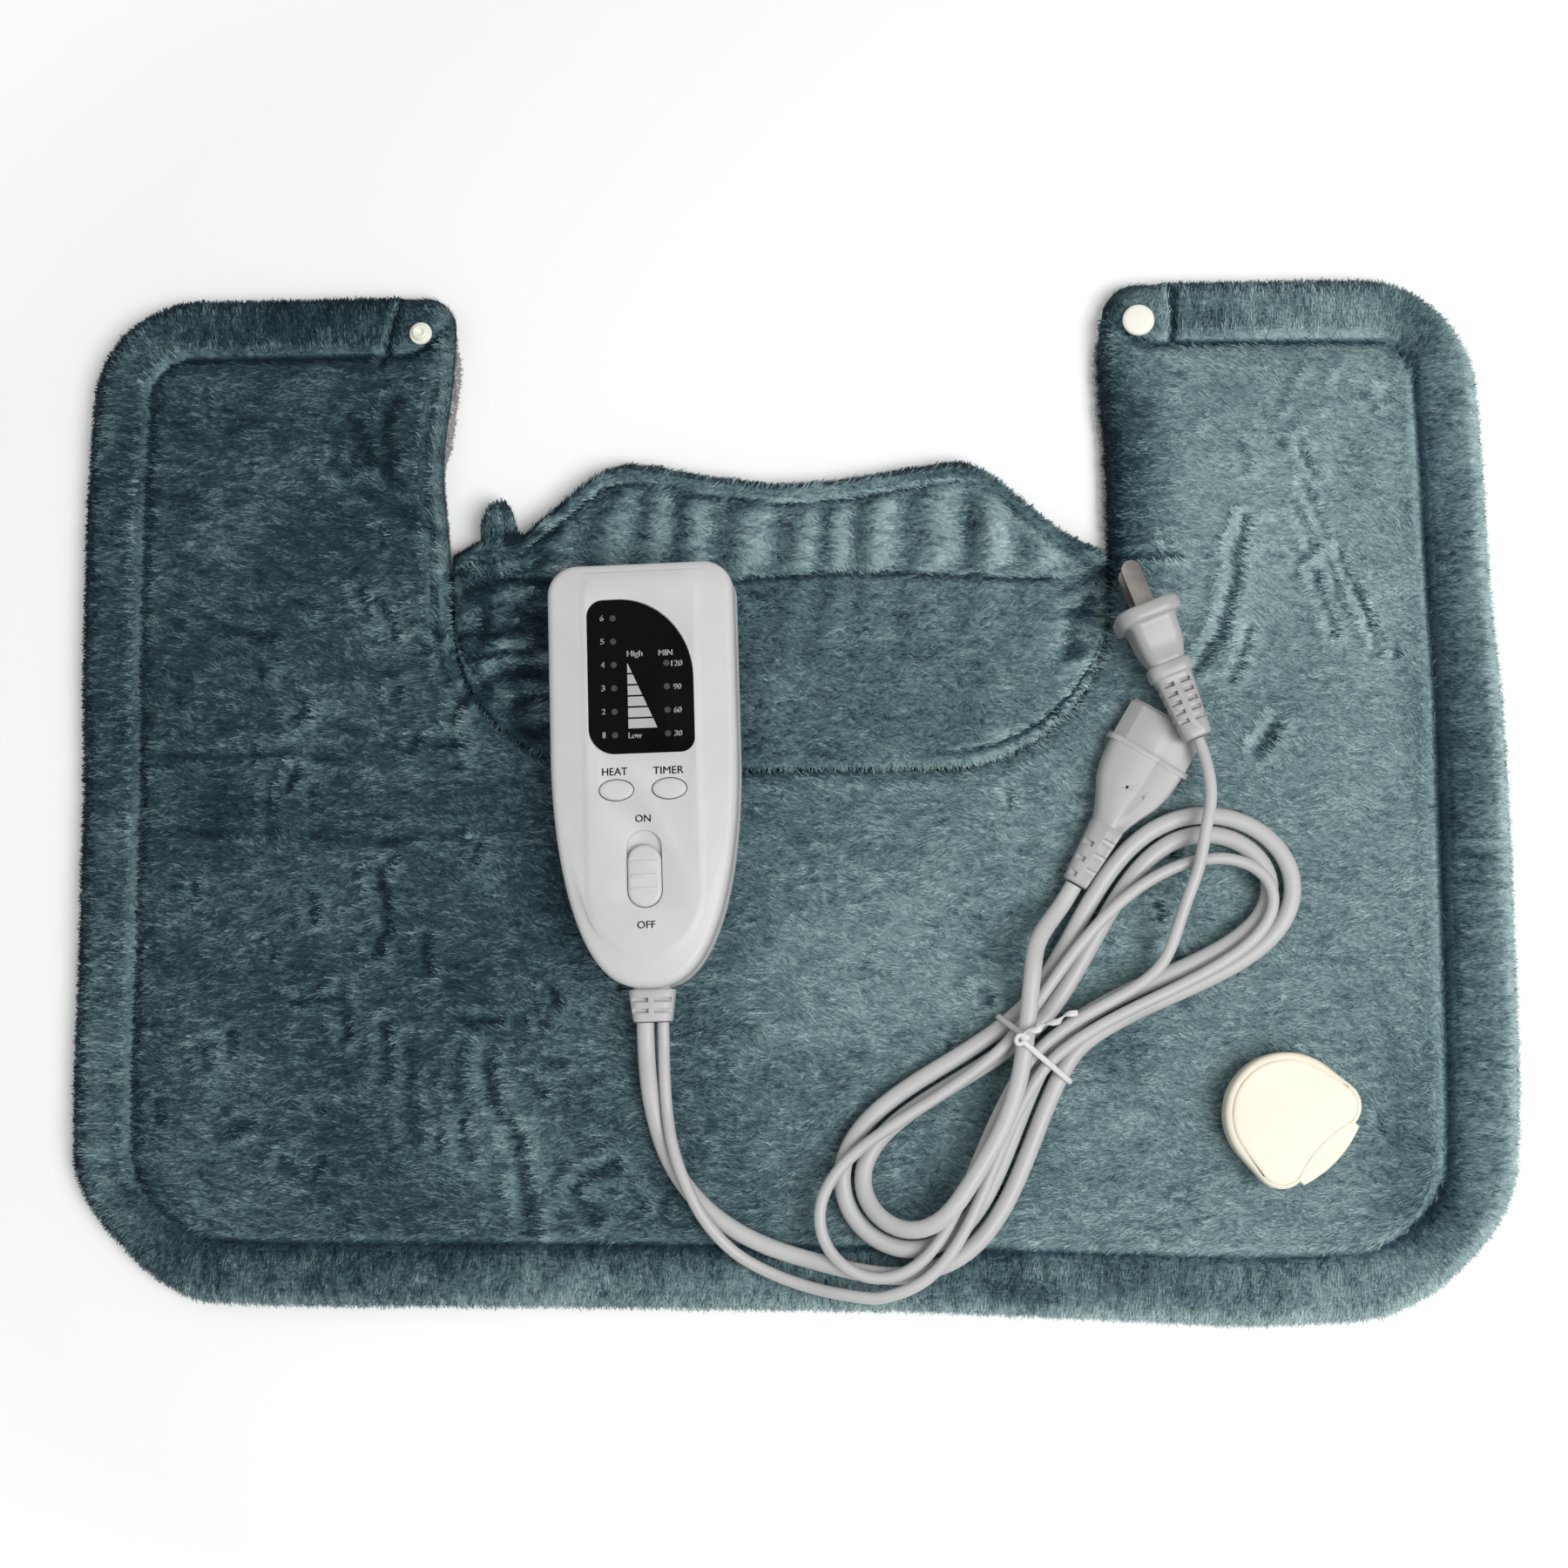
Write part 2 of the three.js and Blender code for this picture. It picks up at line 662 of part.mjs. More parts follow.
// Snap fasteners: a cap and a socket on the right flap, a stud and a cap on the left one
function snapPieces() {
  const bore = SNAP_POST_R + CLEAR;
  const upper = [
    [0, CLEAR + SNAP_UNDER_T / 2],
    [SNAP_POST_R, CLEAR + SNAP_UNDER_T / 2],
    [SNAP_POST_R, REST_Z],
    [SNAP_CAP_R, REST_Z],
    [SNAP_CAP_R, REST_Z + 0.7],
    [SNAP_CAP_R - 0.9, REST_Z + 1.4],
    [0, REST_Z + 1.7],
  ];
  const socket = [
    [bore, CLEAR],
    [SNAP_CAP_R - 0.6, CLEAR],
    [SNAP_CAP_R, CLEAR + 0.5],
    [SNAP_CAP_R, CLEAR + SNAP_UNDER_T],
    [bore, CLEAR + SNAP_UNDER_T],
    [bore, CLEAR],
  ];
  const lower = [
    [0, CLEAR],
    [SNAP_CAP_R - 0.9, CLEAR],
    [SNAP_CAP_R, CLEAR + 0.6],
    [SNAP_CAP_R, CLEAR + SNAP_UNDER_T],
    [SNAP_POST_R, CLEAR + SNAP_UNDER_T],
    [SNAP_POST_R, REST_Z + 0.9],
    [0, REST_Z + 0.9],
  ];
  const stud = [
    [0, REST_Z + 1.2],
    [bore, REST_Z + 1.2],
    [bore, REST_Z],
    [SNAP_STUD_R, REST_Z],
    [SNAP_STUD_R, REST_Z + 0.7],
    [bore + 0.8, REST_Z + 0.9],
    [bore + 0.5, REST_Z + 1.4],
    [bore + 0.8, REST_Z + 2.2],
    [bore, REST_Z + 2.7],
    [bore - 1, REST_Z + 2.2],
    [0, REST_Z + 2],
  ];
  const move = (profile, x) => turned(profile).translate(x, SNAP_Y, 0);
  place('snap_cap_right', move(upper, SNAP_X), cream);
  place('snap_socket_right', move(socket, SNAP_X), cream);
  place('snap_cap_left', move(lower, -SNAP_X), cream);
  place('snap_stud_left', move(stud, -SNAP_X), cream);
}

snapPieces();

// Heart-shaped ring of the pad socket, mouth towards its own +X, with the front pushed out or in.
function socketRing(inset, push, z) {
  const gapX = SOCKET_LOBE_X - SOCKET_REAR_X;
  const away = Math.hypot(gapX, SOCKET_LOBE_Y);
  const lean = Math.atan2(SOCKET_LOBE_Y, gapX);
  const meet = lean + Math.acos((SOCKET_REAR_R - SOCKET_LOBE_R) / away);
  const angle = THREE.MathUtils.radToDeg(meet);
  const lobe = SOCKET_LOBE_R - inset;
  const front = (share) => {
    const x = SOCKET_LOBE_X + lobe + push * (1 - share * share);
    return [x, SOCKET_LOBE_Y * share];
  };
  const points = [
    ...[-0.75, -0.5, -0.25, 0, 0.25, 0.5, 0.75].map(front),
    ...arc(SOCKET_LOBE_X, SOCKET_LOBE_Y, lobe, 0, angle, 6),
    ...arc(SOCKET_REAR_X, 0, SOCKET_REAR_R - inset, angle, 360 - angle, 12),
    ...arc(SOCKET_LOBE_X, -SOCKET_LOBE_Y, lobe, -angle, 0, 6),
  ];
  return atHeight(points, z);
}

const NOSE_BORE_T = NOSE_T + NOSE_PLAY;
const SOCKET_BASE_H = SOCKET_FLOOR + NOSE_BORE_T + NOSE_PLAY;
const PIN_Z = SOCKET_FLOOR + NOSE_PLAY + NOSE_T / 2;

function socketPin(y, grow) {
  const half = PIN_SIZE / 2 + grow;
  const tailTop = PIN_Z + half;
  const tailLow = WIRE_Z + WIRE_D / 2 + CLEAR - REST_Z;
  const reach = SOCKET_STOP_X + PIN_REACH;
  const blade = box(pinTailX - half, reach + grow, y - half, y + half, PIN_Z - half, tailTop);
  const tail = box(pinTailX - half, pinTailX + half, y - half, y + half, tailLow, tailTop);
  return join(blade, tail);
}

function socketPieces() {
  const group = groupAt(SOCKET_AT[0], SOCKET_AT[1], REST_Z, SOCKET_TURN);
  const shell = loft([
    socketRing(0.6, LIP_BULGE, 0),
    socketRing(0, LIP_BULGE, 0.8),
    socketRing(0, LIP_BULGE, SOCKET_BASE_H),
  ]);
  const mouthHalf = NOSE_W / 2 + NOSE_PLAY;
  const beyond = SOCKET_LOBE_X + SOCKET_LOBE_R + LIP_BULGE + 5;
  const over = SOCKET_BASE_H + 1;
  const mouth = box(SOCKET_STOP_X, beyond, -mouthHalf, mouthHalf, SOCKET_FLOOR, over);
  const roomX = SOCKET_WALL_X - SOCKET_REAR_ROOM;
  const room = box(roomX, SOCKET_WALL_X, -CONTACT_PITCH, CONTACT_PITCH, SOCKET_FLOOR, over);
  const stakeHoles = stakeSpots.map(([x, y]) => rod(x, y, -1, over, STAKE_R + CLEAR, 12));
  const pinHoles = pinSpots.map((y) => socketPin(y, CLEAR));
  place('socket_base', cut(shell, mouth, room, ...stakeHoles, ...pinHoles), cream, group);

  const under = SOCKET_BASE_H + CLEAR;
  const top = under + LID_T;
  const lid = loft([
    socketRing(0, LIP_BULGE, under),
    socketRing(0, LIP_BULGE, top - 2),
    socketRing(0.9, LIP_BULGE - 0.5, top - 0.7),
    socketRing(2.2, LIP_BULGE - 1.4, top - 0.1),
    socketRing(2.9, -LID_NOTCH, top - 0.1),
    socketRing(3.2, -LID_NOTCH, top - 0.7),
    socketRing(3.6, -LID_NOTCH, top),
  ]);
  place('socket_lid', lid, cream, group);
  pinSpots.forEach((y, i) => place(`socket_pin_${i + 1}`, socketPin(y, 0), metal, group));

  const plateTop = CEILING_Z - CLEAR - REST_Z;
  const plate = loft([
    socketRing(CLEAR, 0, plateTop - BACK_PLATE_T),
    socketRing(CLEAR, 0, plateTop),
  ]);
  const stakeTop = SOCKET_FLOOR - CLEAR;
  const stakes = stakeSpots.map(([x, y]) => rod(x, y, plateTop - 1, stakeTop, STAKE_R, 12));
  const half = PIN_SIZE / 2 + CLEAR;
  const slots = pinSpots.map((y) =>
    box(pinTailX - half, pinTailX + half, y - half, y + half, plateTop - 5, plateTop + 1));
  place('socket_back_plate', cut(join(plate, ...stakes), ...slots), white, group);
}

socketPieces();

// Controller outline ring: round upper corners, and sides that draw in to a full round lower end.
function controllerRing(inset, z) {
  const x = CTRL_W / 2 - inset;
  const topY = CTRL_L / 2 - inset;
  const r = Math.max(CTRL_CORNER_R - inset, 0.5);
  const taperY = CTRL_TAPER_L - CTRL_L / 2;
  const reach = CTRL_TAPER_L - inset;
  const low = Array.from({ length: 17 }, (_, i) => {
    const angle = Math.PI * (1 + i / 16);
    const across = Math.cos(angle);
    const wide = Math.sign(across) * Math.abs(across) ** (2 / CTRL_TAPER_POWER);
    return [x * wide, taperY + reach * Math.sin(angle)];
  });
  const points = [
    ...low,
    ...arc(x - r, topY - r, r, 0, 90, 5),
    ...arc(r - x, topY - r, r, 90, 180, 5),
  ];
  return atHeight(points, z);
}

const FACE_Z = CTRL_H;
const CEILING_IN = FACE_Z - CTRL_WALL;
const BACK_TOP = CTRL_PARTING - CLEAR;
const BOARD_TOP = BOARD_Z + BOARD_T;
const ON_BOARD = BOARD_TOP + CLEAR;
const LENS_Z = FACE_Z - LENS_T;
const LENS_MID_Y = LENS_TOP_Y - LENS_L / 2;
const SLIDER_L = SLOT_L - SLIDER_TRAVEL - 2 * RUN;
const SLIDER_Y = SLOT_BOTTOM_Y + RUN + SLIDER_L / 2;
const SLOT_Y = SLOT_BOTTOM_Y + SLOT_L / 2;
const GLAND_Z = CTRL_PARTING;
const GLAND_Y = -CTRL_L / 2;

function lensShape(grow) {
  const x = LENS_W / 2 + grow;
  const y = LENS_L / 2 + grow;
  const small = LENS_R + grow;
  const big = LENS_BIG_R + grow;
  const shape = new THREE.Shape();
  shape.absarc(x - big, y - big, big, 0, Math.PI / 2);
  shape.absarc(small - x, y - small, small, Math.PI / 2, Math.PI);
  shape.absarc(small - x, small - y, small, Math.PI, 1.5 * Math.PI);
  shape.absarc(x - small, small - y, small, 1.5 * Math.PI, 2 * Math.PI);
  return shape;
}

const ledRow = (level) => LENS_TOP_Y - LENS_L + LED_MARGIN + level * LED_PITCH;

function ledSlot(x, count) {
  const low = ledRow(0);
  const high = ledRow(count - 1);
  const width = 2 * (LED_R + RUN);
  const shape = roundedRect(width, high - low + width, width / 2 - 0.01);
  return prism(shape, CEILING_IN - 2, FACE_Z + 1).translate(x, (low + high) / 2, 0);
}

function glandHole() {
  const shape = roundedRect(GLAND_NECK_W + 2 * CLEAR, GLAND_NECK_H + 2 * CLEAR, 2.5);
  const hole = prism(shape, -10, 14).rotateX(Math.PI / 2);
  return hole.translate(0, GLAND_Y, GLAND_Z);
}

function frontShell() {
  const shoulder = FACE_Z - PLATEAU_RISE;
  const body = loft([
    controllerRing(CTRL_WALL + PLATEAU_INSET, CEILING_IN),
    controllerRing(CTRL_WALL + EDGE_R, CEILING_IN - PLATEAU_RISE),
    controllerRing(CTRL_WALL, CEILING_IN - PLATEAU_RISE - EDGE_R),
    controllerRing(CTRL_WALL, CTRL_PARTING),
    controllerRing(0, CTRL_PARTING),
    controllerRing(0, shoulder - EDGE_R),
    controllerRing(0.3 * EDGE_R, shoulder - 0.3 * EDGE_R),
    controllerRing(EDGE_R, shoulder),
    controllerRing(PLATEAU_INSET, FACE_Z),
  ]);
  const bosses = SCREW_SPOTS.map(([x, y]) => rod(x, y, ON_BOARD, CEILING_IN - 0.4, BOSS_R));
  const pilots = SCREW_SPOTS.map(([x, y]) =>
    rod(x, y, ON_BOARD - 1, CEILING_IN - 1.5, SCREW_R + CLEAR, 12));
  const lens = prism(lensShape(CLEAR), LENS_Z - CLEAR, FACE_Z + 1).translate(0, LENS_MID_Y, 0);
  const buttons = [-BUTTON_X, BUTTON_X].map((x) =>
    prism(ellipse(BUTTON_W + 2 * RUN, BUTTON_L + 2 * RUN), 10, FACE_Z + 1)
      .translate(x, BUTTON_Y, 0));
  const slot = prism(roundedRect(SLOT_W, SLOT_L, 4.5), 10, FACE_Z + 1).translate(0, SLOT_Y, 0);
  const lights = [ledSlot(-LED_X, HEAT_LEVELS), ledSlot(LED_X, TIMER_STEPS)];
  return cut(join(body, ...bosses), ...pilots, lens, ...buttons, slot, ...lights, glandHole());
}

function backShell() {
  const body = loft([
    controllerRing(2 * EDGE_R, 0),
    controllerRing(0.8 * EDGE_R, 0.6),
    controllerRing(0, EDGE_R + 1),
    controllerRing(0, BACK_TOP),
    controllerRing(CTRL_WALL, BACK_TOP),
    controllerRing(CTRL_WALL, EDGE_R + CTRL_WALL),
    controllerRing(CTRL_WALL + EDGE_R, CTRL_WALL),
  ]);
  const seat = SCREW_SINK + SCREW_HEAD_T + CLEAR;
  const bosses = SCREW_SPOTS.map(([x, y]) => rod(x, y, 0.5, BOARD_Z - CLEAR, BOSS_R));
  const heads = SCREW_SPOTS.map(([x, y]) => rod(x, y, -1, seat, SCREW_HEAD_R + CLEAR, 16));
  const shanks = SCREW_SPOTS.map(([x, y]) => rod(x, y, -1, BOARD_Z + 1, SCREW_R + CLEAR, 12));
  return cut(join(body, ...bosses), ...heads, ...shanks, glandHole());
}

function circuitBoard() {
  const sheet = loft([
    controllerRing(BOARD_INSET, BOARD_Z),
    controllerRing(BOARD_INSET, BOARD_TOP),
  ]);
  const holes = SCREW_SPOTS.map(([x, y]) =>
    rod(x, y, BOARD_Z - 1, BOARD_TOP + 1, SCREW_R + CLEAR, 12));
  const glandY = GLAND_Y + GLAND_FLANGE_T + CTRL_WALL + 8;
  const relief = box(-GLAND_W, GLAND_W, GLAND_Y - 5, glandY, BOARD_Z - 1, BOARD_TOP + 1);
  return cut(sheet, ...holes, relief);
}

function screw() {
  const low = SCREW_SINK;
  return turned([
    [0, low + 0.5],
    [0.8, low],
    [SCREW_HEAD_R, low],
    [SCREW_HEAD_R, low + SCREW_HEAD_T],
    [SCREW_R, low + SCREW_HEAD_T],
    [SCREW_R, CEILING_IN - 2.6],
    [0, CEILING_IN - 2.2],
  ], 12);
}

function pushButton() {
  const flangeTop = CEILING_IN - CLEAR;
  const flangeLow = flangeTop - BUTTON_FLANGE_T;
  const cap = prism(ellipse(BUTTON_W, BUTTON_L), flangeLow, FACE_Z + BUTTON_PROUD - 0.4);
  const crown = prism(ellipse(BUTTON_W - 1, BUTTON_L - 1), flangeLow, FACE_Z + BUTTON_PROUD);
  const wide = ellipse(BUTTON_W + 2 * BUTTON_FLANGE, BUTTON_L + 2 * BUTTON_FLANGE);
  const flange = prism(wide, flangeLow, flangeTop);
  const stemLow = ON_BOARD + SWITCH_H + BUTTON_TRAVEL + CLEAR;
  const stem = rod(0, 0, stemLow, flangeTop, 1.6, 12);
  return join(cap, crown, flange, stem);
}

function powerSlider() {
  const skirtTop = CEILING_IN - CLEAR;
  const skirtLow = skirtTop - SLIDER_SKIRT_T;
  const width = SLOT_W - 2 * RUN;
  const top = FACE_Z + SLIDER_PROUD;
  const knob = prism(roundedRect(width, SLIDER_L, 4.2), skirtLow, top);
  const wide = roundedRect(width + 2 * SLIDER_SKIRT, SLIDER_L + 2 * SLIDER_SKIRT, 4);
  const skirt = prism(wide, skirtLow, skirtTop);
  const pinLow = ON_BOARD + 1 + CLEAR;
  const pin = box(-SLIDER_PIN / 2, SLIDER_PIN / 2, -1.5, 1.5, pinLow, skirtTop);
  const ribs = [-1, 0, 1].map((i) => {
    const y = i * SLIDER_RIB_PITCH;
    const across = width / 2 - 1;
    return box(-across, across, y - SLIDER_RIB_W / 2, y + SLIDER_RIB_W / 2, top - 1, top + SLIDER_RIB);
  });
  return join(knob, skirt, pin, ...ribs);
}

function slideSwitch() {
  const low = ON_BOARD;
  const body = prism(roundedRect(SLIDE_SWITCH_W, SLIDE_SWITCH_L, 0.8), low, low + SLIDE_SWITCH_H);
  const halfPin = SLIDER_PIN / 2 + RUN;
  const start = SLIDER_Y - SLOT_Y - 1.5 - RUN;
  const end = SLIDER_Y - SLOT_Y + SLIDER_TRAVEL + 1.5 + RUN;
  const groove = box(-halfPin, halfPin, start, end, low + 1, low + SLIDE_SWITCH_H + 1);
  return cut(body, groove).translate(0, SLOT_Y, 0);
}

// Strain relief: a ribbed stub outside the housing and a flange held between the shells
function cordGland() {
  const neckL = CTRL_WALL + 2 * CLEAR + 2.2;
  const stub = loft([
    sectionRing(GLAND_END_W, GLAND_END_H, 3.2, -GLAND_L),
    sectionRing(GLAND_W, GLAND_H, 3.4, -CLEAR),
  ]);
  const neck = prism(roundedRect(GLAND_NECK_W, GLAND_NECK_H, 2.2), -1, neckL + 1);
  const flange = prism(roundedRect(GLAND_W, GLAND_H, 2), neckL, neckL + GLAND_FLANGE_T);
  const slots = [-1, 1].flatMap((side) => [0.32, 0.66].flatMap((share) => {
    const z = -GLAND_L * share;
    const x = side * GLAND_END_W * 0.24;
    return [-1, 1].map((face) => {
      const y = face * (GLAND_END_H / 2 + 0.6);
      return box(x - 1.9, x + 1.9, y - 1.2, y + 1.2, z - 0.9, z + 0.9);
    });
  }));
  const whole = cut(join(stub, neck, flange), ...slots);
  return whole.rotateX(-Math.PI / 2).translate(0, GLAND_Y, GLAND_Z);
}

function controllerPieces() {
  const group = groupAt(CTRL_AT[0], CTRL_AT[1], REST_Z, CTRL_TURN);
  const add = (name, geometry, material) => place(name, geometry, material, group);
  add('controller_front_shell', frontShell(), white);
  add('controller_back_shell', backShell(), white);
  const lens = prism(lensShape(0), LENS_Z, FACE_Z + 0.1).translate(0, LENS_MID_Y, 0);
  add('display_lens', lens, gloss);
  add('circuit_board', circuitBoard(), board);
  const light = (x, level) => rod(x, ledRow(level), ON_BOARD, LENS_Z - 2 * CLEAR, LED_R, 10);
  for (let level = 0; level < HEAT_LEVELS; level += 1) {
    add(`heat_led_${level + 1}`, light(-LED_X, level), led);
  }
  for (let level = 0; level < TIMER_STEPS; level += 1) {
    add(`timer_led_${level + 1}`, light(LED_X, level), led);
  }
  const half = SWITCH_SIZE / 2;
  [['heat', -BUTTON_X], ['timer', BUTTON_X]].forEach(([name, x]) => {
    add(`${name}_button`, pushButton().translate(x, BUTTON_Y, 0), white);
    const body = box(x - half, x + half, BUTTON_Y - half, BUTTON_Y + half,
      ON_BOARD, ON_BOARD + SWITCH_H);
    add(`${name}_switch`, body, black);
  });
  add('power_slider', powerSlider().translate(0, SLIDER_Y, 0), white);
  add('slide_switch', slideSwitch(), black);
  SCREW_SPOTS.forEach(([x, y], i) => add(`housing_screw_${i + 1}`, screw().translate(x, y, 0), metal));
  add('cord_gland', cordGland(), cordWhite);
  const below = BOARD_Z - CLEAR;
  add('capacitor', box(-16, -3, 20, 26, below - 8, below), wireRed);
  add('triac', box(4, 12, 14, 25, below - 3.4, below), black);
  const fuse = new THREE.CylinderGeometry(2.5, 2.5, 18, 12);
  add('fuse', fuse.translate(10, -12, below - 2.5), felt);
}

controllerPieces();

// Hank of the two cords, in its own frame: u along it, v across it, bent a little past the tie
const hankAxis = new THREE.Vector2(Math.cos(radians(HANK_TURN)), Math.sin(radians(HANK_TURN)));

function hankPoint(u, v, z) {
  const bent = Math.hypot(Math.max(u, 0), HANK_BEND_SOFT) - HANK_BEND_SOFT;
  const across = v - (HANK_BEND * bent) / HANK_REACH;
  const x = HANK_AT[0] + u * hankAxis.x - across * hankAxis.y;
  const y = HANK_AT[1] + u * hankAxis.y + across * hankAxis.x;
  return new THREE.Vector3(x, y, z);
}

// A point of one loop, drawn in at the waist, slanted towards its far end, moved outwards by a distance
function loopPoint(angle, out, { half, nearR, farR, slant, shift }) {
  const at = (a) => {
    const along = Math.cos(a);
    const endR = nearR + (farR - nearR) * (0.5 + 0.5 * along);
    const wide = Math.sqrt(endR * half) * Math.abs(along) ** HANK_PINCH;
    return new THREE.Vector2(
      shift + half * along,
      Math.sin(a) * wide + slant * Math.max(along, 0) ** 2,
    );
  };
  const along = at(angle + 1e-4).sub(at(angle - 1e-4)).normalize();
  return at(angle).add(new THREE.Vector2(along.y, -along.x).multiplyScalar(out));
}

// Loops that spiral in from the outside, then a run that climbs and leaves over the others
function hankPoints({ from, to, turnsOut, pitch, layer, climb, loop, end, heading, reaches }) {
  const steps = Math.round(((to - from) / 360) * LOOP_STEPS);
  const flat = Array.from({ length: steps + 1 }, (_, i) => {
    const degrees = from + ((to - from) * i) / steps;
    const out = pitch * (turnsOut - (degrees - from) / 360);
    const { x, y } = loopPoint(radians(degrees), out, loop);
    const t = THREE.MathUtils.smoothstep(degrees, climb.from, climb.to);
    return new THREE.Vector3(x, y, layer + (climb.level - layer) * t);
  });
  const start = flat[steps];
  const along = start.clone().sub(flat[steps - 1]).normalize();
  const finish = new THREE.Vector3(...end);
  const leave = new THREE.Vector3(...heading).normalize();
  const run = new THREE.CubicBezierCurve3(
    start,
    start.clone().addScaledVector(along, reaches[0]),
    finish.clone().addScaledVector(leave, -reaches[1]),
    finish,
  );
  const away = run.getPoints(8).slice(1);
  return [...flat, ...away].map((p) => hankPoint(p.x, p.y, p.z));
}

const LOW_LAYER = REST_Z + TIE_T + CLEAR + PAD_CORD_D / 2;
const MID_LAYER = LOW_LAYER + (PAD_CORD_D + MAINS_CORD_D) / 2 + LAYER_GAP;
const TOP_LAYER = MID_LAYER + (PAD_CORD_D + MAINS_CORD_D) / 2 + LAYER_GAP;
const CROSS_LAYER = MID_LAYER + MAINS_CORD_D + LAYER_GAP;

const padHank = hankPoints({
  from: 200,
  to: 945,
  turnsOut: 2,
  pitch: PAD_CORD_D + PAD_STRAND_GAP,
  layer: LOW_LAYER,
  climb: { from: 865, to: 935, level: TOP_LAYER },
  loop: { half: 80, nearR: 16.4, farR: 16.4, slant: -2, shift: 9 },
  end: [14, 12, TOP_LAYER],
  heading: [1, 0.75, 0],
  reaches: [30, 30],
});
const mainsHank = hankPoints({
  from: 200,
  to: 650,
  turnsOut: 1.75,
  pitch: MAINS_CORD_D + MAINS_STRAND_GAP,
  layer: MID_LAYER,
  climb: { from: 600, to: 660, level: MID_LAYER },
  loop: { half: 84, nearR: 16, farR: 6.8, slant: -9, shift: -2 },
  end: [72, 2, CROSS_LAYER],
  heading: [1, 0.5, 0.12],
  reaches: [24, 28],
});

// Least gap between stretches of one tube that are more than five diameters apart along it
function leastGap(points, diameter) {
  const fine = points.flatMap((p, i) => {
    const next = points[Math.min(i + 1, points.length - 1)];
    return [0, 0.25, 0.5, 0.75].map((t) => p.clone().lerp(next, t));
  });
  const along = [0];
  fine.forEach((p, i) => {
    if (i) along.push(along[i - 1] + p.distanceTo(fine[i - 1]));
  });
  let least = Infinity;
  fine.forEach((p, i) => {
    for (let k = i + 1; k < fine.length; k += 1) {
      if (along[k] - along[i] > 5 * diameter) least = Math.min(least, p.distanceTo(fine[k]));
    }
  });
  return least - diameter;
}

console.log(`pad cord hank: least gap ${leastGap(padHank, PAD_CORD_D).toFixed(2)} mm`);
console.log(`mains cord hank: least gap ${leastGap(mainsHank, MAINS_CORD_D).toFixed(2)} mm`);

// A free stretch of cord along hand-chosen points, from one end face to the other
function freeCord(points, diameter, steps) {
  const sides = diameter < 4 ? 8 : 10;
  const section = new THREE.Shape(
    Array.from({ length: sides }, (_, k) => {
      const angle = (2 * Math.PI * k) / sides;
      return new THREE.Vector2(Math.cos(angle), Math.sin(angle)).multiplyScalar(diameter / 2);
    }),
  );
  const extrudePath = new THREE.CatmullRomCurve3(points, false, 'centripetal');
  return new THREE.ExtrudeGeometry(section, { steps, bevelEnabled: false, extrudePath });
}

// The point a distance before or after the end of a hank, on its own line
function beyond(points, first, distance) {
  const end = first ? points[0] : points[points.length - 1];
  const inner = first ? points[1] : points[points.length - 2];
  const out = end.clone().sub(inner).normalize();
  return end.clone().addScaledVector(out, distance);
}

function glandExit(x) {
  const turn = radians(CTRL_TURN);
  const y = GLAND_Y - GLAND_L;
  const at = (px, py) => new THREE.Vector3(
    CTRL_AT[0] + px * Math.cos(turn) - py * Math.sin(turn),
    CTRL_AT[1] + px * Math.sin(turn) + py * Math.cos(turn),
    REST_Z + GLAND_Z,
  );
  return [at(x, y - CLEAR), at(x, y - CLEAR - PAD_CORD_D)];
}

const point = (x, y, z) => new THREE.Vector3(x, y, REST_Z + z);

const padLead = [
  ...glandExit(-2.5),
  point(-39.4, -93, 7.4),
  point(-38, -104, 4.2),
  point(-33.6, -118, 3.2),
  point(-25.4, -130.4, 3.2),
  point(-13.4, -140.4, 3.2),
  point(0, -146.8, 3.2),
  point(17, -151.6, 3.4),
  point(32, -154.6, 3.9),
  beyond(padHank, true, PAD_CORD_D + CLEAR),
  beyond(padHank, true, CLEAR),
];
const mainsLead = [
  ...glandExit(3.2),
  point(-34.2, -92, 7.6),
  point(-33.4, -104, 6.2),
  point(-31.4, -115, 7.8),
  point(-27.2, -126.5, 8.8),
  point(-20.8, -138.5, 7.4),
  point(-11.4, -148.6, 3.6),
  point(0.5, -155, 2.4),
  point(14, -159.2, 4.2),
  point(26, -161, 8),
  beyond(mainsHank, true, MAINS_CORD_D + CLEAR),
  beyond(mainsHank, true, CLEAR),
];

function plugPoint(along) {
  const turn = radians(PLUG_TURN);
  return new THREE.Vector3(
    PLUG_FACE_AT[0] + along * Math.cos(turn),
    PLUG_FACE_AT[1] + along * Math.sin(turn),
    REST_Z + PLUG_FACE_H / 2,
  );
}

function connectorPoint(along) {
  const turn = radians(CONNECTOR_TURN);
  return new THREE.Vector3(
    CONNECTOR_AT[0] + along * Math.cos(turn),
    CONNECTOR_AT[1] + along * Math.sin(turn),
    REST_Z + FLANGE_H / 2,
  );
}

const PLUG_LENGTH = PLUG_FACE_T + PLUG_BODY_L + PLUG_COLLAR_L + PLUG_BOOT_L;
const GRIP_LENGTH = FLANGE_T / 2 + CLEAR + GRIP_L + GRIP_BOOT_L;
const mainsTail = [
  beyond(mainsHank, false, CLEAR),
  beyond(mainsHank, false, CLEAR + MAINS_CORD_D),
  point(136.2, -17, 14.4),
  point(138.4, -4, 14),
  plugPoint(PLUG_LENGTH + CLEAR + MAINS_CORD_D),
  plugPoint(PLUG_LENGTH + CLEAR),
];
const padTail = [
  beyond(padHank, false, CLEAR),
  beyond(padHank, false, CLEAR + PAD_CORD_D),
  point(83.6, -51, 12),
  connectorPoint(-GRIP_LENGTH - CLEAR - PAD_CORD_D),
  connectorPoint(-GRIP_LENGTH - CLEAR),
];

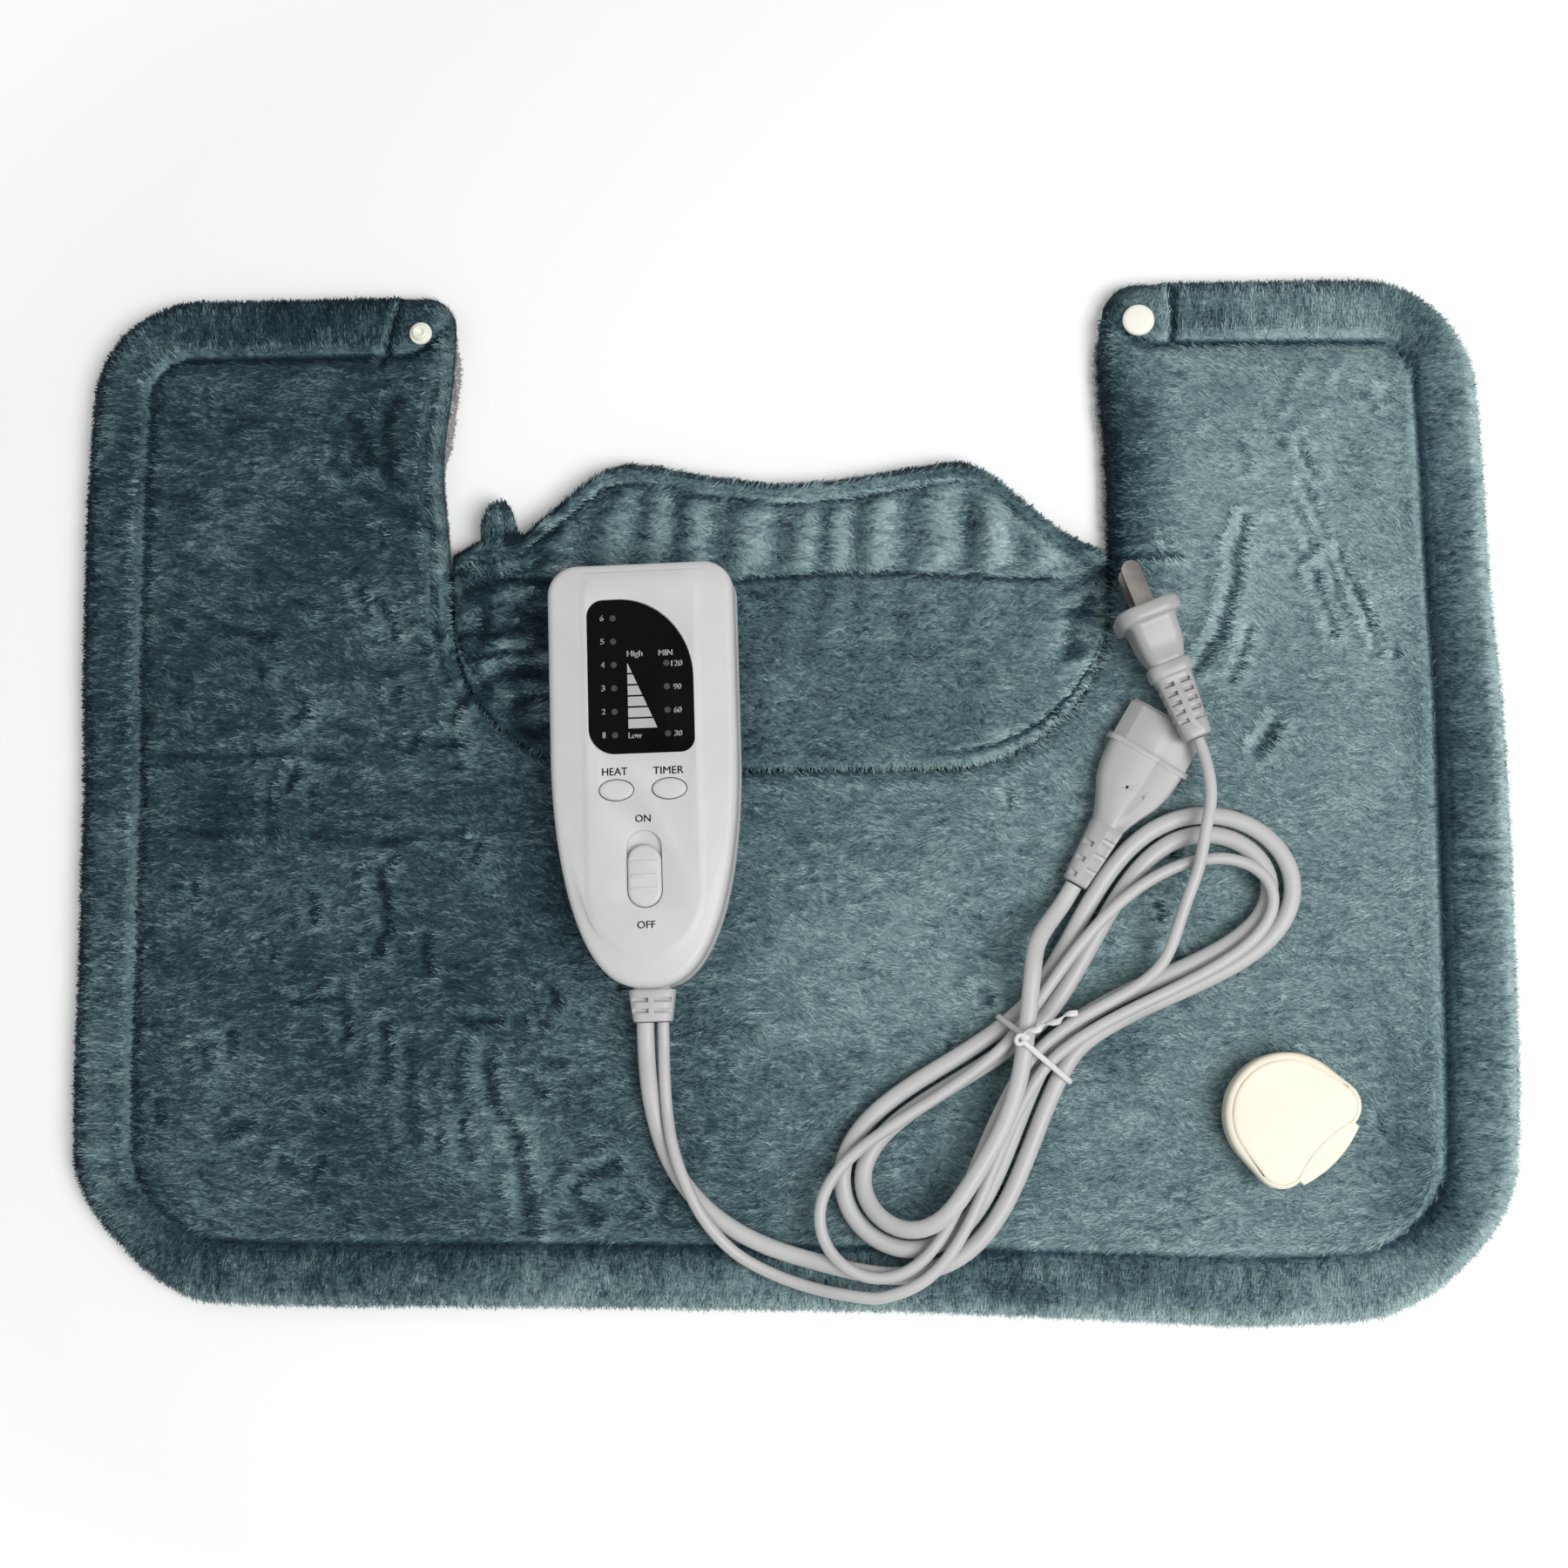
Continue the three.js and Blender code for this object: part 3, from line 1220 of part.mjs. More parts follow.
place('pad_cord_lead', freeCord(padLead, PAD_CORD_D, 26), cordWhite);
place('pad_cord_hank', tube(padHank, PAD_CORD_D, 8), cordWhite);
place('pad_cord_tail', freeCord(padTail, PAD_CORD_D, 8), cordWhite);
place('mains_cord_lead', freeCord(mainsLead, MAINS_CORD_D, 32), cordWhite);
place('mains_cord_hank', tube(mainsHank, MAINS_CORD_D, 8), cordWhite);
place('mains_cord_tail', freeCord(mainsTail, MAINS_CORD_D, 14), cordWhite);

// Where a cord of the hank crosses its waist, measured across the hank
function waistCrossings(points) {
  const alongOf = (p) => (p.x - HANK_AT[0]) * hankAxis.x + (p.y - HANK_AT[1]) * hankAxis.y;
  const acrossOf = (p) => (p.y - HANK_AT[1]) * hankAxis.x - (p.x - HANK_AT[0]) * hankAxis.y;
  return points.slice(1).flatMap((p, i) => {
    const u0 = alongOf(points[i]);
    const u1 = alongOf(p);
    return u0 * u1 > 0 ? [] : [acrossOf(points[i].clone().lerp(p, u0 / (u0 - u1)))];
  });
}

// Twist tie: a flat band round the waist of the hank with two twisted ends on top
function cordTie() {
  const across = [padHank, mainsHank].flatMap(waistCrossings);
  const room = PAD_CORD_D / 2 + 2 * CLEAR;
  const left = Math.max(...across) + room;
  const right = Math.min(...across) - room;
  const low = LOW_LAYER - PAD_CORD_D / 2 - CLEAR;
  const high = TOP_LAYER + PAD_CORD_D / 2 + CLEAR;
  const width = left - right;
  const turnR = PAD_CORD_D / 2 + CLEAR;
  const outer = roundedRect(width + 2 * TIE_T, high - low + 2 * TIE_T, turnR + TIE_T);
  outer.holes.push(roundedRect(width, high - low, turnR));
  const band = prism(outer, -TIE_W / 2, TIE_W / 2, 4);
  band.rotateX(Math.PI / 2).rotateZ(Math.PI / 2);
  band.translate(0, (left + right) / 2, (low + high) / 2);
  const rise = high + TIE_T + TIE_TAIL_D / 2;
  const tail = tube([
    new THREE.Vector3(-1, 0, rise),
    new THREE.Vector3(3, -0.6, rise + 0.8),
    new THREE.Vector3(8, -2.4, rise + 1.6),
    new THREE.Vector3(13, -3.4, rise + 1.6),
    new THREE.Vector3(18, -6, rise + 0.8),
  ], TIE_TAIL_D, 6);
  const knot = new THREE.SphereGeometry(2, 8, 6).translate(0, 0, high + TIE_T + 1.4);
  const whole = join(band, knot, tail);
  return whole.rotateZ(radians(HANK_TURN)).translate(HANK_AT[0], HANK_AT[1], 0);
}

place('cord_tie', cordTie(), cordWhite);

// Cuts on the broad sides of a bending boot, in two rows
function bootSlots(start, length, count, height, slot) {
  const [deep, wide, along] = slot;
  return Array.from({ length: count }, (_, i) => start + (length * (i + 0.5)) / count).flatMap(
    (z) => [-1, 1].flatMap((side) => [-1, 1].map((face) => {
      const x = side * (wide / 2 + 0.6);
      const y = face * (height / 2);
      return box(x - wide / 2, x + wide / 2, y - deep, y + deep, z - along / 2, z + along / 2);
    })),
  );
}

// Mains plug: moulded face, tapered body, collar and bending boot, blades one above the other
function plugPieces() {
  const z1 = PLUG_FACE_T;
  const z2 = z1 + PLUG_BODY_L;
  const z3 = z2 + PLUG_COLLAR_L;
  const z4 = z3 + PLUG_BOOT_L;
  const collarH = PLUG_NECK_H;
  const body = loft([
    sectionRing(PLUG_FACE_W - 2, PLUG_FACE_H - 2, 6, 0),
    sectionRing(PLUG_FACE_W, PLUG_FACE_H, 6, 1),
    sectionRing(PLUG_FACE_W, PLUG_FACE_H, 6, z1 - 1),
    sectionRing(PLUG_FACE_W - 1.6, PLUG_FACE_H - 1.6, 6, z1),
    sectionRing(PLUG_BODY_W, PLUG_BODY_H, 3, z1 + 0.4),
    sectionRing(PLUG_BODY_W - 0.6, PLUG_BODY_H - 2, 3, z1 + 0.6 * PLUG_BODY_L),
    sectionRing(PLUG_NECK_W, PLUG_NECK_H - 1.4, 3, z2 - 0.4),
    sectionRing(PLUG_COLLAR_W, collarH, 3.4, z2),
    sectionRing(PLUG_COLLAR_W, collarH, 3.4, z3 - 0.4),
    sectionRing(PLUG_COLLAR_W - 1.6, collarH - 2.6, 3.4, z3),
    sectionRing(PLUG_BOOT_END, PLUG_BOOT_END - 0.6, 3, z4),
  ]);
  const halfPitch = BLADE_PITCH / 2;
  const tang = (y, grow) => box(
    -TANG_W / 2 - grow, TANG_W / 2 + grow,
    y - TANG_T / 2 - grow, y + TANG_T / 2 + grow,
    -1, TANG_L + grow,
  );
  const slots = bootSlots(z3 + 1, PLUG_BOOT_L - 5, BOOT_SLOTS, collarH - 3, SLOT_CUT);
  const upright = (geometry) => geometry.rotateX(Math.PI / 2).rotateZ(Math.PI / 2);
  const group = groupAt(PLUG_FACE_AT[0], PLUG_FACE_AT[1], REST_Z + PLUG_FACE_H / 2, PLUG_TURN);
  const hollow = cut(body, tang(halfPitch, CLEAR), tang(-halfPitch, CLEAR), ...slots);
  place('plug_body', upright(hollow), cordWhite, group);
  [['upper', halfPitch], ['lower', -halfPitch]].forEach(([name, y]) => {
    const outline = new THREE.Shape();
    const half = BLADE_W / 2;
    outline.moveTo(-half, -CLEAR);
    outline.lineTo(-half, half - BLADE_L);
    outline.absarc(0, half - BLADE_L, half, Math.PI, 2 * Math.PI);
    outline.lineTo(half, -CLEAR);
    const blade = prism(outline, -BLADE_T / 2, BLADE_T / 2, 8);
    blade.rotateX(Math.PI / 2).translate(0, y, 0);
    place(`plug_blade_${name}`, upright(join(blade, tang(y, 0))), metal, group);
  });
}

plugPieces();

// Pad connector: a chamfered nose on a flange, a tapered grip and a bending boot
function connectorPieces() {
  const height = REST_Z + FLANGE_H / 2;
  const group = groupAt(CONNECTOR_AT[0], CONNECTOR_AT[1], height, CONNECTOR_TURN);
  const laid = (geometry) => geometry.rotateX(Math.PI / 2).rotateZ(Math.PI / 2);
  const half = NOSE_W / 2;
  const flat = NOSE_TOP_W / 2;
  const thick = NOSE_T / 2;
  const noseShape = new THREE.Shape([
    new THREE.Vector2(half, -thick),
    new THREE.Vector2(half, 0),
    new THREE.Vector2(flat, thick),
    new THREE.Vector2(-flat, thick),
    new THREE.Vector2(-half, 0),
    new THREE.Vector2(-half, -thick),
  ]);
  const nose = prism(noseShape, 0, FLANGE_T / 2 + NOSE_L);
  const flange = prism(roundedRect(FLANGE_W, FLANGE_H, 1.5), -FLANGE_T / 2, FLANGE_T / 2);
  const contactHalf = PIN_SIZE / 2 + 0.8;
  const bores = pinSpots.map((x) => box(
    x - contactHalf - CLEAR, x + contactHalf + CLEAR,
    -contactHalf - CLEAR, contactHalf + CLEAR,
    FLANGE_T / 2 + NOSE_L - PIN_REACH - 3, FLANGE_T / 2 + NOSE_L + 1,
  ));
  place('connector_nose', laid(cut(join(nose, flange), ...bores)), cordWhite, group);
  pinSpots.forEach((x, i) => {
    const tip = FLANGE_T / 2 + NOSE_L - 0.8;
    const outer = box(x - contactHalf, x + contactHalf, -contactHalf, contactHalf,
      tip - PIN_REACH - 1.8, tip);
    const inner = box(x - PIN_SIZE / 2 - 0.2, x + PIN_SIZE / 2 + 0.2,
      -PIN_SIZE / 2 - 0.2, PIN_SIZE / 2 + 0.2, tip - PIN_REACH, tip + 1);
    place(`connector_contact_${i + 1}`, laid(cut(outer, inner)), metal, group);
  });
  const z0 = -FLANGE_T / 2 - CLEAR;
  const z1 = z0 - GRIP_L;
  const z2 = z1 - GRIP_BOOT_L;
  const grip = loft([
    sectionRing(GRIP_BOOT_END, GRIP_BOOT_END - 1, 2.6, z2),
    sectionRing(GRIP_END_W, GRIP_H - 0.6, 2.8, z1),
    sectionRing(GRIP_END_W + 4, GRIP_H, 3, z1 + 0.25 * GRIP_L),
    sectionRing(GRIP_W - 2, GRIP_H, 3, z1 + 0.68 * GRIP_L),
    sectionRing(GRIP_W, GRIP_H, 3, z0),
  ]);
  const slots = bootSlots(z2 + 2, GRIP_BOOT_L - 6, 4, GRIP_H - 1, SLOT_CUT);
  place('connector_grip', laid(cut(grip, ...slots)), cordWhite, group);
}

connectorPieces();

export default root;
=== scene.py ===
"""Looks of a neck and shoulder heating pad with its controller, cords, plug and pad connector."""

import math

import bpy
import numpy as np
from mathutils import Matrix, Vector


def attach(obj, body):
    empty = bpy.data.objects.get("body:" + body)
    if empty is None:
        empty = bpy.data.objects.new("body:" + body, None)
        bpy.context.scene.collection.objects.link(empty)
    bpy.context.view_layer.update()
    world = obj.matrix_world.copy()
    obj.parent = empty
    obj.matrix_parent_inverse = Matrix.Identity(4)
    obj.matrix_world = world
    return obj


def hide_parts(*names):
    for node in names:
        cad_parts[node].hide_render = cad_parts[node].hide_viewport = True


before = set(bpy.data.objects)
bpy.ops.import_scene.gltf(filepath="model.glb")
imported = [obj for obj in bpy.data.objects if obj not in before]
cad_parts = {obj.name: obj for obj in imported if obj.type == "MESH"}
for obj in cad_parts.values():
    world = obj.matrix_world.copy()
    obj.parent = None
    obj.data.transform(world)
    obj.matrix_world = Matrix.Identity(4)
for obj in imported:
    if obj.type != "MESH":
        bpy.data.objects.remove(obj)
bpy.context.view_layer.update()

MM = 0.001
REST_Z = 13.7
PAD_TOP = 13.4
CLEAR = 0.3
rng = np.random.default_rng(11)


def new_object(name, data):
    obj = bpy.data.objects.new(name, data)
    bpy.context.scene.collection.objects.link(obj)
    return obj


# Camera, at the photo's place
def add_camera():
    data = bpy.data.cameras.new("camera")
    data.lens = 53.58
    data.sensor_width = 36
    data.clip_start = 0.01
    data.clip_end = 50
    look = Vector((-0.0667, 0.1174, -0.9908)).normalized()
    side = look.cross(Vector((0.00536, 0.99308, 0.11728))).normalized()
    turn = Matrix((side, side.cross(look), -look)).transposed().to_4x4()
    turn.translation = (0.053444, -0.087881, 0.762229)
    camera = new_object("camera", data)
    camera.matrix_world = turn
    bpy.context.scene.camera = camera


add_camera()


# Small tools for modelling
def only(obj, *others):
    """Selects these objects, the first of them active."""
    bpy.ops.object.select_all(action="DESELECT")
    for each in (obj, *others):
        each.select_set(True)
    bpy.context.view_layer.objects.active = obj


def new_shape(make, **settings):
    """A new primitive, the only one selected."""
    bpy.ops.object.select_all(action="DESELECT")
    make(**settings)
    return bpy.context.object


def edit(*steps):
    """Takes mesh tools to the whole of the active object."""
    bpy.ops.object.mode_set(mode="EDIT")
    bpy.ops.mesh.select_all(action="SELECT")
    for step in steps:
        step()
    bpy.ops.object.mode_set(mode="OBJECT")


def raise_faces():
    bpy.ops.mesh.extrude_region_move(TRANSFORM_OT_translate={"value": (0, 0, 1)})


def face_out():
    bpy.ops.mesh.normals_make_consistent(inside=False)


def placed(x, y, z, turn=0.0):
    """From a part's own millimetres to the scene's metres."""
    spot = Matrix.Translation((x, y, z)) @ Matrix.Rotation(math.radians(turn), 4, "Z")
    return Matrix.Scale(MM, 4) @ spot


def coords(mesh, what="co"):
    flat = np.empty(len(mesh.vertices) * 3, np.float32)
    mesh.vertices.foreach_get(what, flat)
    return flat.reshape(-1, 3).astype(float)


def set_coords(mesh, points):
    mesh.vertices.foreach_set("co", np.asarray(points, np.float32).ravel())
    mesh.update()


def build_up(name, rings, matrix):
    """A closed body: a filled ring, extruded from ring to ring. Rings are in the part's millimetres."""
    rings = [np.array(ring, float) for ring in rings]
    obj = new_shape(
        bpy.ops.mesh.primitive_circle_add, vertices=len(rings[0]), radius=1, fill_type="NGON"
    )
    obj.name = obj.data.name = name
    edit(*[raise_faces] * (len(rings) - 1))
    start = coords(obj.data)
    level = np.rint(start[:, 2]).astype(int)
    angle = np.arctan2(start[:, 1], start[:, 0])
    slots = np.sort(angle[level == 0])
    order = np.abs(angle[:, None] - slots[None, :]).argmin(axis=1)
    set_coords(obj.data, [rings[lev][k] for lev, k in zip(level, order)])
    obj.data.transform(matrix)
    edit(face_out)
    return obj


def use_modifier(obj, kind, **settings):
    only(obj)
    modifier = obj.modifiers.new(kind.lower(), kind)
    for key, value in settings.items():
        setattr(modifier, key, value)
    bpy.ops.object.modifier_apply(modifier=modifier.name)


def carve(obj, *cutters, operation="DIFFERENCE"):
    for cutter in cutters:
        use_modifier(obj, "BOOLEAN", operation=operation, solver="EXACT", object=cutter)
        bpy.data.objects.remove(cutter, do_unlink=True)


def soften(obj, width, angle):
    """Rounds the sharp edges and shades the rest smooth."""
    if width:
        use_modifier(
            obj, "BEVEL", width=width * MM, segments=2, limit_method="ANGLE",
            angle_limit=math.radians(angle), use_clamp_overlap=True, harden_normals=False,
        )
    only(obj)
    bpy.ops.object.shade_smooth_by_angle(angle=math.radians(angle))


def shade_round(obj):
    only(obj)
    bpy.ops.object.shade_smooth()


def finish_piece(obj, material, body, slot, *nodes):
    obj.data.materials.clear()
    obj.data.materials.append(material)
    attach(obj, body)
    if nodes:
        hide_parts(*nodes)
    return obj


def rigid(name, rings, matrix, look, *nodes, cuts=(), edge=0, angle=40):
    """A hard piece from its rings to its finish. The look is its material, body and slot; the slot is not
    used.
    """
    obj = build_up(name, rings, matrix)
    carve(obj, *cuts)
    soften(obj, edge, angle)
    return finish_piece(obj, *look, *nodes)


def cutter_boxes(spans, matrix):
    """Box cutters in one mesh, each from x0, x1, y0, y1, z0, z1 in the part's millimetres."""
    made = []
    for x0, x1, y0, y1, z0, z1 in spans:
        middle = ((x0 + x1) / 2, (y0 + y1) / 2, (z0 + z1) / 2)
        size = (x1 - x0, y1 - y0, z1 - z0)
        made.append(new_shape(bpy.ops.mesh.primitive_cube_add, size=1, location=middle, scale=size))
    cutter = made.pop()
    only(cutter, *made)
    if made:
        bpy.ops.object.join()
    bpy.ops.object.transform_apply(location=True, rotation=True, scale=True)
    cutter.data.transform(matrix)
    return cutter


def arc(cx, cy, rx, ry, start, end, steps):
    angles = np.radians(np.linspace(start, end, steps + 1))
    return [(cx + rx * math.cos(a), cy + ry * math.sin(a)) for a in angles]


def lift(points, z):
    return [(x, y, z) for x, y in points]


def shifted(ring, along):
    return [(x, y + along, z) for x, y, z in ring]


def span(side, near, far):
    """A stretch on one side of the middle, lower end first."""
    return sorted((side * near, side * far))


def rounded_ring(width, length, radius, z, steps=6):
    r = min(radius, width / 2 - 0.05, length / 2 - 0.05)
    x = width / 2 - r
    y = length / 2 - r
    corners = [(-x, -y, 180), (x, -y, 270), (x, y, 0), (-x, y, 90)]
    return lift([p for cx, cy, a in corners for p in arc(cx, cy, r, r, a, a + 90, steps)], z)


def round_ring(radius, z, steps=32, x=0.0, y=0.0, squeeze=1.0):
    angles = np.linspace(-math.pi, math.pi, steps, endpoint=False)
    return [(x + radius * math.cos(a), y + radius * squeeze * math.sin(a), z) for a in angles]


def smooth(t):
    t = np.clip(t, 0, 1)
    return t * t * (3 - 2 * t)


def hump(t):
    """1 at 0, fading out either way."""
    return np.exp(-t * t)


def blend(one, other, share):
    return one * (1 - share) + other * share


# Materials
FLOAT, VECTOR, COLOR = "NodeSocketFloat", "NodeSocketVector", "NodeSocketColor"


def feed(tree, made, inputs):
    """Sets a node's inputs to values, or links them to other nodes' outputs."""
    for key, value in inputs.items():
        if isinstance(value, bpy.types.NodeSocket):
            tree.links.new(value, made.inputs[key])
        else:
            made.inputs[key].default_value = value
    return made


def node(tree, kind, inputs=None, **settings):
    made = tree.nodes.new("ShaderNode" + kind)
    for key, value in settings.items():
        setattr(made, key, value)
    return feed(tree, made, inputs or {})


def shader_group(name, inputs, outputs):
    tree = bpy.data.node_groups.new(name, "ShaderNodeTree")
    for key, kind, default in inputs:
        socket = tree.interface.new_socket(name=key, in_out="INPUT", socket_type=kind)
        if default is not None:
            socket.default_value = default
    for key, kind in outputs:
        tree.interface.new_socket(name=key, in_out="OUTPUT", socket_type=kind)
    return tree, tree.nodes.new("NodeGroupInput").outputs, tree.nodes.new("NodeGroupOutput")


def noise(tree, where, scale, detail, distortion=0.0):
    values = {"Vector": where, "Scale": scale, "Detail": detail, "Distortion": distortion}
    return node(tree, "TexNoise", values).outputs


def spread(tree, value, given, made, **settings):
    """A value carried from one range to another, and held at its ends."""
    ends = dict(zip(("From Min", "From Max", "To Min", "To Max"), (*given, *made)))
    return node(tree, "MapRange", {"Value": value, **ends}, **settings).outputs["Result"]


def reckon(tree, operation, *values):
    return node(tree, "Math", dict(enumerate(values)), operation=operation).outputs[0]


def linear(red, green, blue):
    """A colour given as it looks on a screen, 0 to 255."""
    channels = [c / 255 for c in (red, green, blue)]
    return [c / 12.92 if c <= 0.04045 else ((c + 0.055) / 1.055) ** 2.4 for c in channels] + [1]


def moulded_group():
    """Slight unevenness of a moulded surface: colour, roughness and fine grain."""
    tree, given, out = shader_group(
        "moulded_surface",
        [
            ("Vector", VECTOR, None), ("Color", COLOR, (0.8, 0.8, 0.8, 1)),
            ("Unevenness", FLOAT, 0.06), ("Roughness", FLOAT, 0.4),
        ],
        [("Color", COLOR), ("Roughness", FLOAT), ("Grain", FLOAT)],
    )
    cloud = spread(tree, noise(tree, given["Vector"], 70, 3)["Fac"], (0.3, 0.7), (-1, 1))
    amount = reckon(tree, "MULTIPLY", cloud, given["Unevenness"])
    value = reckon(tree, "ADD", amount, 1.0)
    feed(tree, out, {
        "Color": node(tree, "HueSaturation", {"Color": given["Color"], "Value": value}).outputs["Color"],
        "Roughness": reckon(tree, "MULTIPLY_ADD", amount, 1.5, given["Roughness"]),
        "Grain": noise(tree, given["Vector"], 1500, 2)["Fac"],
    })
    return tree


MOULDED = moulded_group()


def new_material(name):
    material = bpy.data.materials.new(name)
    material.use_nodes = True
    tree = material.node_tree
    tree.nodes.clear()
    shader = node(tree, "BsdfPrincipled")
    node(tree, "OutputMaterial", {"Surface": shader.outputs[0]})
    return material, tree, shader


def moulded(name, color, roughness=0.4, unevenness=0.05, grain=0.03, **shader_values):
    material, tree, shader = new_material(name)
    values = {
        "Vector": node(tree, "TexCoord").outputs["Object"], "Color": linear(*color),
        "Roughness": roughness, "Unevenness": unevenness,
    }
    surface = node(tree, "Group", values, node_tree=MOULDED).outputs
    bump = node(tree, "Bump", {"Strength": grain, "Distance": 0.0002, "Height": surface["Grain"]})
    feed(tree, shader, {
        "Base Color": surface["Color"], "Roughness": surface["Roughness"], "Normal": bump.outputs["Normal"],
        **{key.replace("_", " "): value for key, value in shader_values.items()},
    })
    return material


white_plastic = moulded("white_plastic", (194, 194, 194), 0.45, 0.03)
cord_jacket = moulded("cord_jacket", (178, 178, 178), 0.45, 0.06)
plug_plastic = moulded("plug_plastic", (160, 160, 160), 0.4, 0.05)
tie_white = moulded("tie_white", (206, 206, 205), 0.5, 0.1)
cream_plastic = moulded("cream_plastic", (229, 223, 204), 0.45, 0.05)
snap_plastic = moulded("snap_plastic", (232, 233, 220), 0.35, 0.05)
lens_black = moulded("lens_black", (9, 9, 9), 0.3, 0.1, 0.02, Specular_IOR_Level=0.05)
led_dark = moulded("led_dark", (48, 48, 49), 0.3, 0.4)
print_grey = moulded("print_grey", (166, 166, 166), 0.6, 0.06)
print_white = moulded("print_white", (190, 190, 190), 0.6, 0.06)
print_black = moulded("print_black", (38, 38, 40), 0.6, 0.1)
plug_metal = moulded("plug_metal", (165, 160, 156), 0.3, 0.08, 0.05, Metallic=1.0)
black_plastic = moulded("black_plastic", (30, 30, 32), 0.5, 0.1)
board_green = moulded("board_green", (48, 104, 62), 0.5, 0.15)
wire_red = moulded("wire_red", (176, 74, 58), 0.5, 0.1)
felt_white = moulded("felt_white", (226, 222, 212), 0.95, 0.15, 0.3)
lining_grey = moulded("lining_grey", (179, 177, 177), 0.95, 0.14, 0.4)


def plush_group():
    """Tone of the pile: darker to the left and lighter to the right as painted sheen of the nap, mottled
    where it was brushed, roots painted darker than tips as shade deep in the pile.
    """
    tree, given, out = shader_group(
        "plush_tone",
        [("Vector", VECTOR, None), ("Strand", FLOAT, 0.0), ("Tip", FLOAT, 0.0), ("Shade", FLOAT, 0.0)],
        [("Color", COLOR)],
    )
    where = given["Vector"]
    x = node(tree, "SeparateXYZ", {0: where}).outputs["X"]
    # Painted sheen: the pile is painted darker to the left and lighter to the right, as the nap catches the
    # light.
    total = spread(tree, x, (-0.16, 0.17), (0.27, 0.59), interpolation_type="SMOOTHSTEP")
    calm = spread(tree, x, (-0.12, 0.15), (1.0, 0.5))
    for scale, detail, strength in ((16, 2, 0.12), (46, 3, 0.12), (120, 3, 0.1)):
        cloud = noise(tree, where, scale, detail, 0.6)["Fac"]
        cloud = spread(tree, cloud, (0.25, 0.75), (-strength / 2, strength / 2))
        total = reckon(tree, "MULTIPLY_ADD", cloud, calm, total)
    warp = noise(tree, where, 160, 2)["Color"]
    drift = {0: warp, 1: (0.008, 0.008, 0.008), 2: where}
    drift = node(tree, "VectorMath", drift, operation="MULTIPLY_ADD").outputs[0]
    stretch = node(tree, "VectorMath", {0: drift, 1: (420, 1500, 420)}, operation="MULTIPLY").outputs[0]
    strokes = spread(tree, noise(tree, stretch, 1, 2)["Fac"], (0.3, 0.7), (-0.12, 0.12))
    total = reckon(tree, "ADD", total, strokes)
    # Tip paints the roots darker than the tips, as shade deep in the pile; Shade carries painted light and
    # shade and brushed tone.
    for key, factor in (("Strand", 0.17), ("Tip", 0.13), ("Shade", 1.0)):
        total = reckon(tree, "MULTIPLY_ADD", given[key], factor, total)
    ramp = node(tree, "ValToRGB", {"Fac": total})
    stops = [
        (0.0, (8, 26, 36)),
        (0.28, (42, 63, 72)),
        (0.5, (88, 112, 117)),
        (0.72, (134, 156, 157)),
        (1.0, (176, 197, 197)),
    ]
    elements = ramp.color_ramp.elements
    for spot, _ in stops[1:-1]:
        elements.new(spot)
    for element, (spot, color) in zip(elements, stops):
        element.position = spot
        element.color = linear(*color)
    feed(tree, out, {"Color": ramp.outputs["Color"]})
    return tree


PLUSH = plush_group()


def plush_material(name, *read, **fixed):
    """Plush whose tone reads these attributes of the mesh."""
    material, tree, shader = new_material(name)
    values = {key: node(tree, "Attribute", attribute_name=key.lower()).outputs["Fac"] for key in read}
    values["Vector"] = node(tree, "TexCoord").outputs["Object"]
    tone = node(tree, "Group", {**values, **fixed}, node_tree=PLUSH).outputs["Color"]
    feed(tree, shader, {"Base Color": tone, "Roughness": 0.85, "Specular IOR Level": 0.2})
    return material


# The cloth under the pile is painted a little darker, as shade under the pile.
plush_cloth = plush_material("plush_cloth", "Shade", Tip=-0.2)
plush_pile = plush_material("plush_pile", "Shade", "Strand", "Tip")

# Material, body and slot of the hard pieces
CREAM = (cream_plastic, "pad", "cream_plastic")
SNAP = (snap_plastic, "pad", "cream_plastic")
WHITE = (white_plastic, "pad", "white_plastic")
JACKET = (cord_jacket, "pad", "cord_jacket")
PLUG = (plug_plastic, "pad", "cord_jacket")

# Parts of the model that show as they are
for material, names in (
    (snap_plastic, ("snap_socket_right", "snap_cap_left")),
    (cream_plastic, ("socket_back_plate",)),
    (plug_metal, [f"{kind}_{k}" for kind in ("socket_pin", "connector_contact") for k in (1, 2)]),
    (plug_metal, [f"housing_screw_{k}" for k in range(1, 5)]),
    (board_green, ("circuit_board",)),
    (led_dark, [f"heat_led_{k}" for k in range(1, 7)] + [f"timer_led_{k}" for k in range(1, 5)]),
    (black_plastic, ("heat_switch", "timer_switch", "slide_switch")),
    (black_plastic, ("capacitor", "triac", "thermal_cutout")),
    (felt_white, ("fuse", "batting", "heater_carrier")),
    (wire_red, ("heating_wire",)),
):
    for name in names:
        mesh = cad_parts[name].data
        mesh.materials.clear()
        mesh.materials.append(material)


# Cords, on the routes of the part
PAD_CORD_D = 5.6
MAINS_CORD_D = 3.8
HANK_AT = (81, -83)
HANK_TURN = math.radians(49)
HANK_BEND = 15.5
HANK_BEND_SOFT = 30
HANK_REACH = 98
HANK_PINCH = 1.6
LOW_LAYER = REST_Z + 0.8 + CLEAR + PAD_CORD_D / 2
MID_LAYER = LOW_LAYER + (PAD_CORD_D + MAINS_CORD_D) / 2 + 0.6
TOP_LAYER = MID_LAYER + (PAD_CORD_D + MAINS_CORD_D) / 2 + 0.6
CROSS_LAYER = MID_LAYER + MAINS_CORD_D + 0.6
CTRL_AT = (-40, 2)
CTRL_TURN = 1.86
CTRL_L = 135.3
CTRL_W = 59.6
GLAND_Z = 11
GLAND_L = 10.4


def in_hank(u, v, z):
    c, s = math.cos(HANK_TURN), math.sin(HANK_TURN)
    return np.array((HANK_AT[0] + u * c - v * s, HANK_AT[1] + u * s + v * c, z))


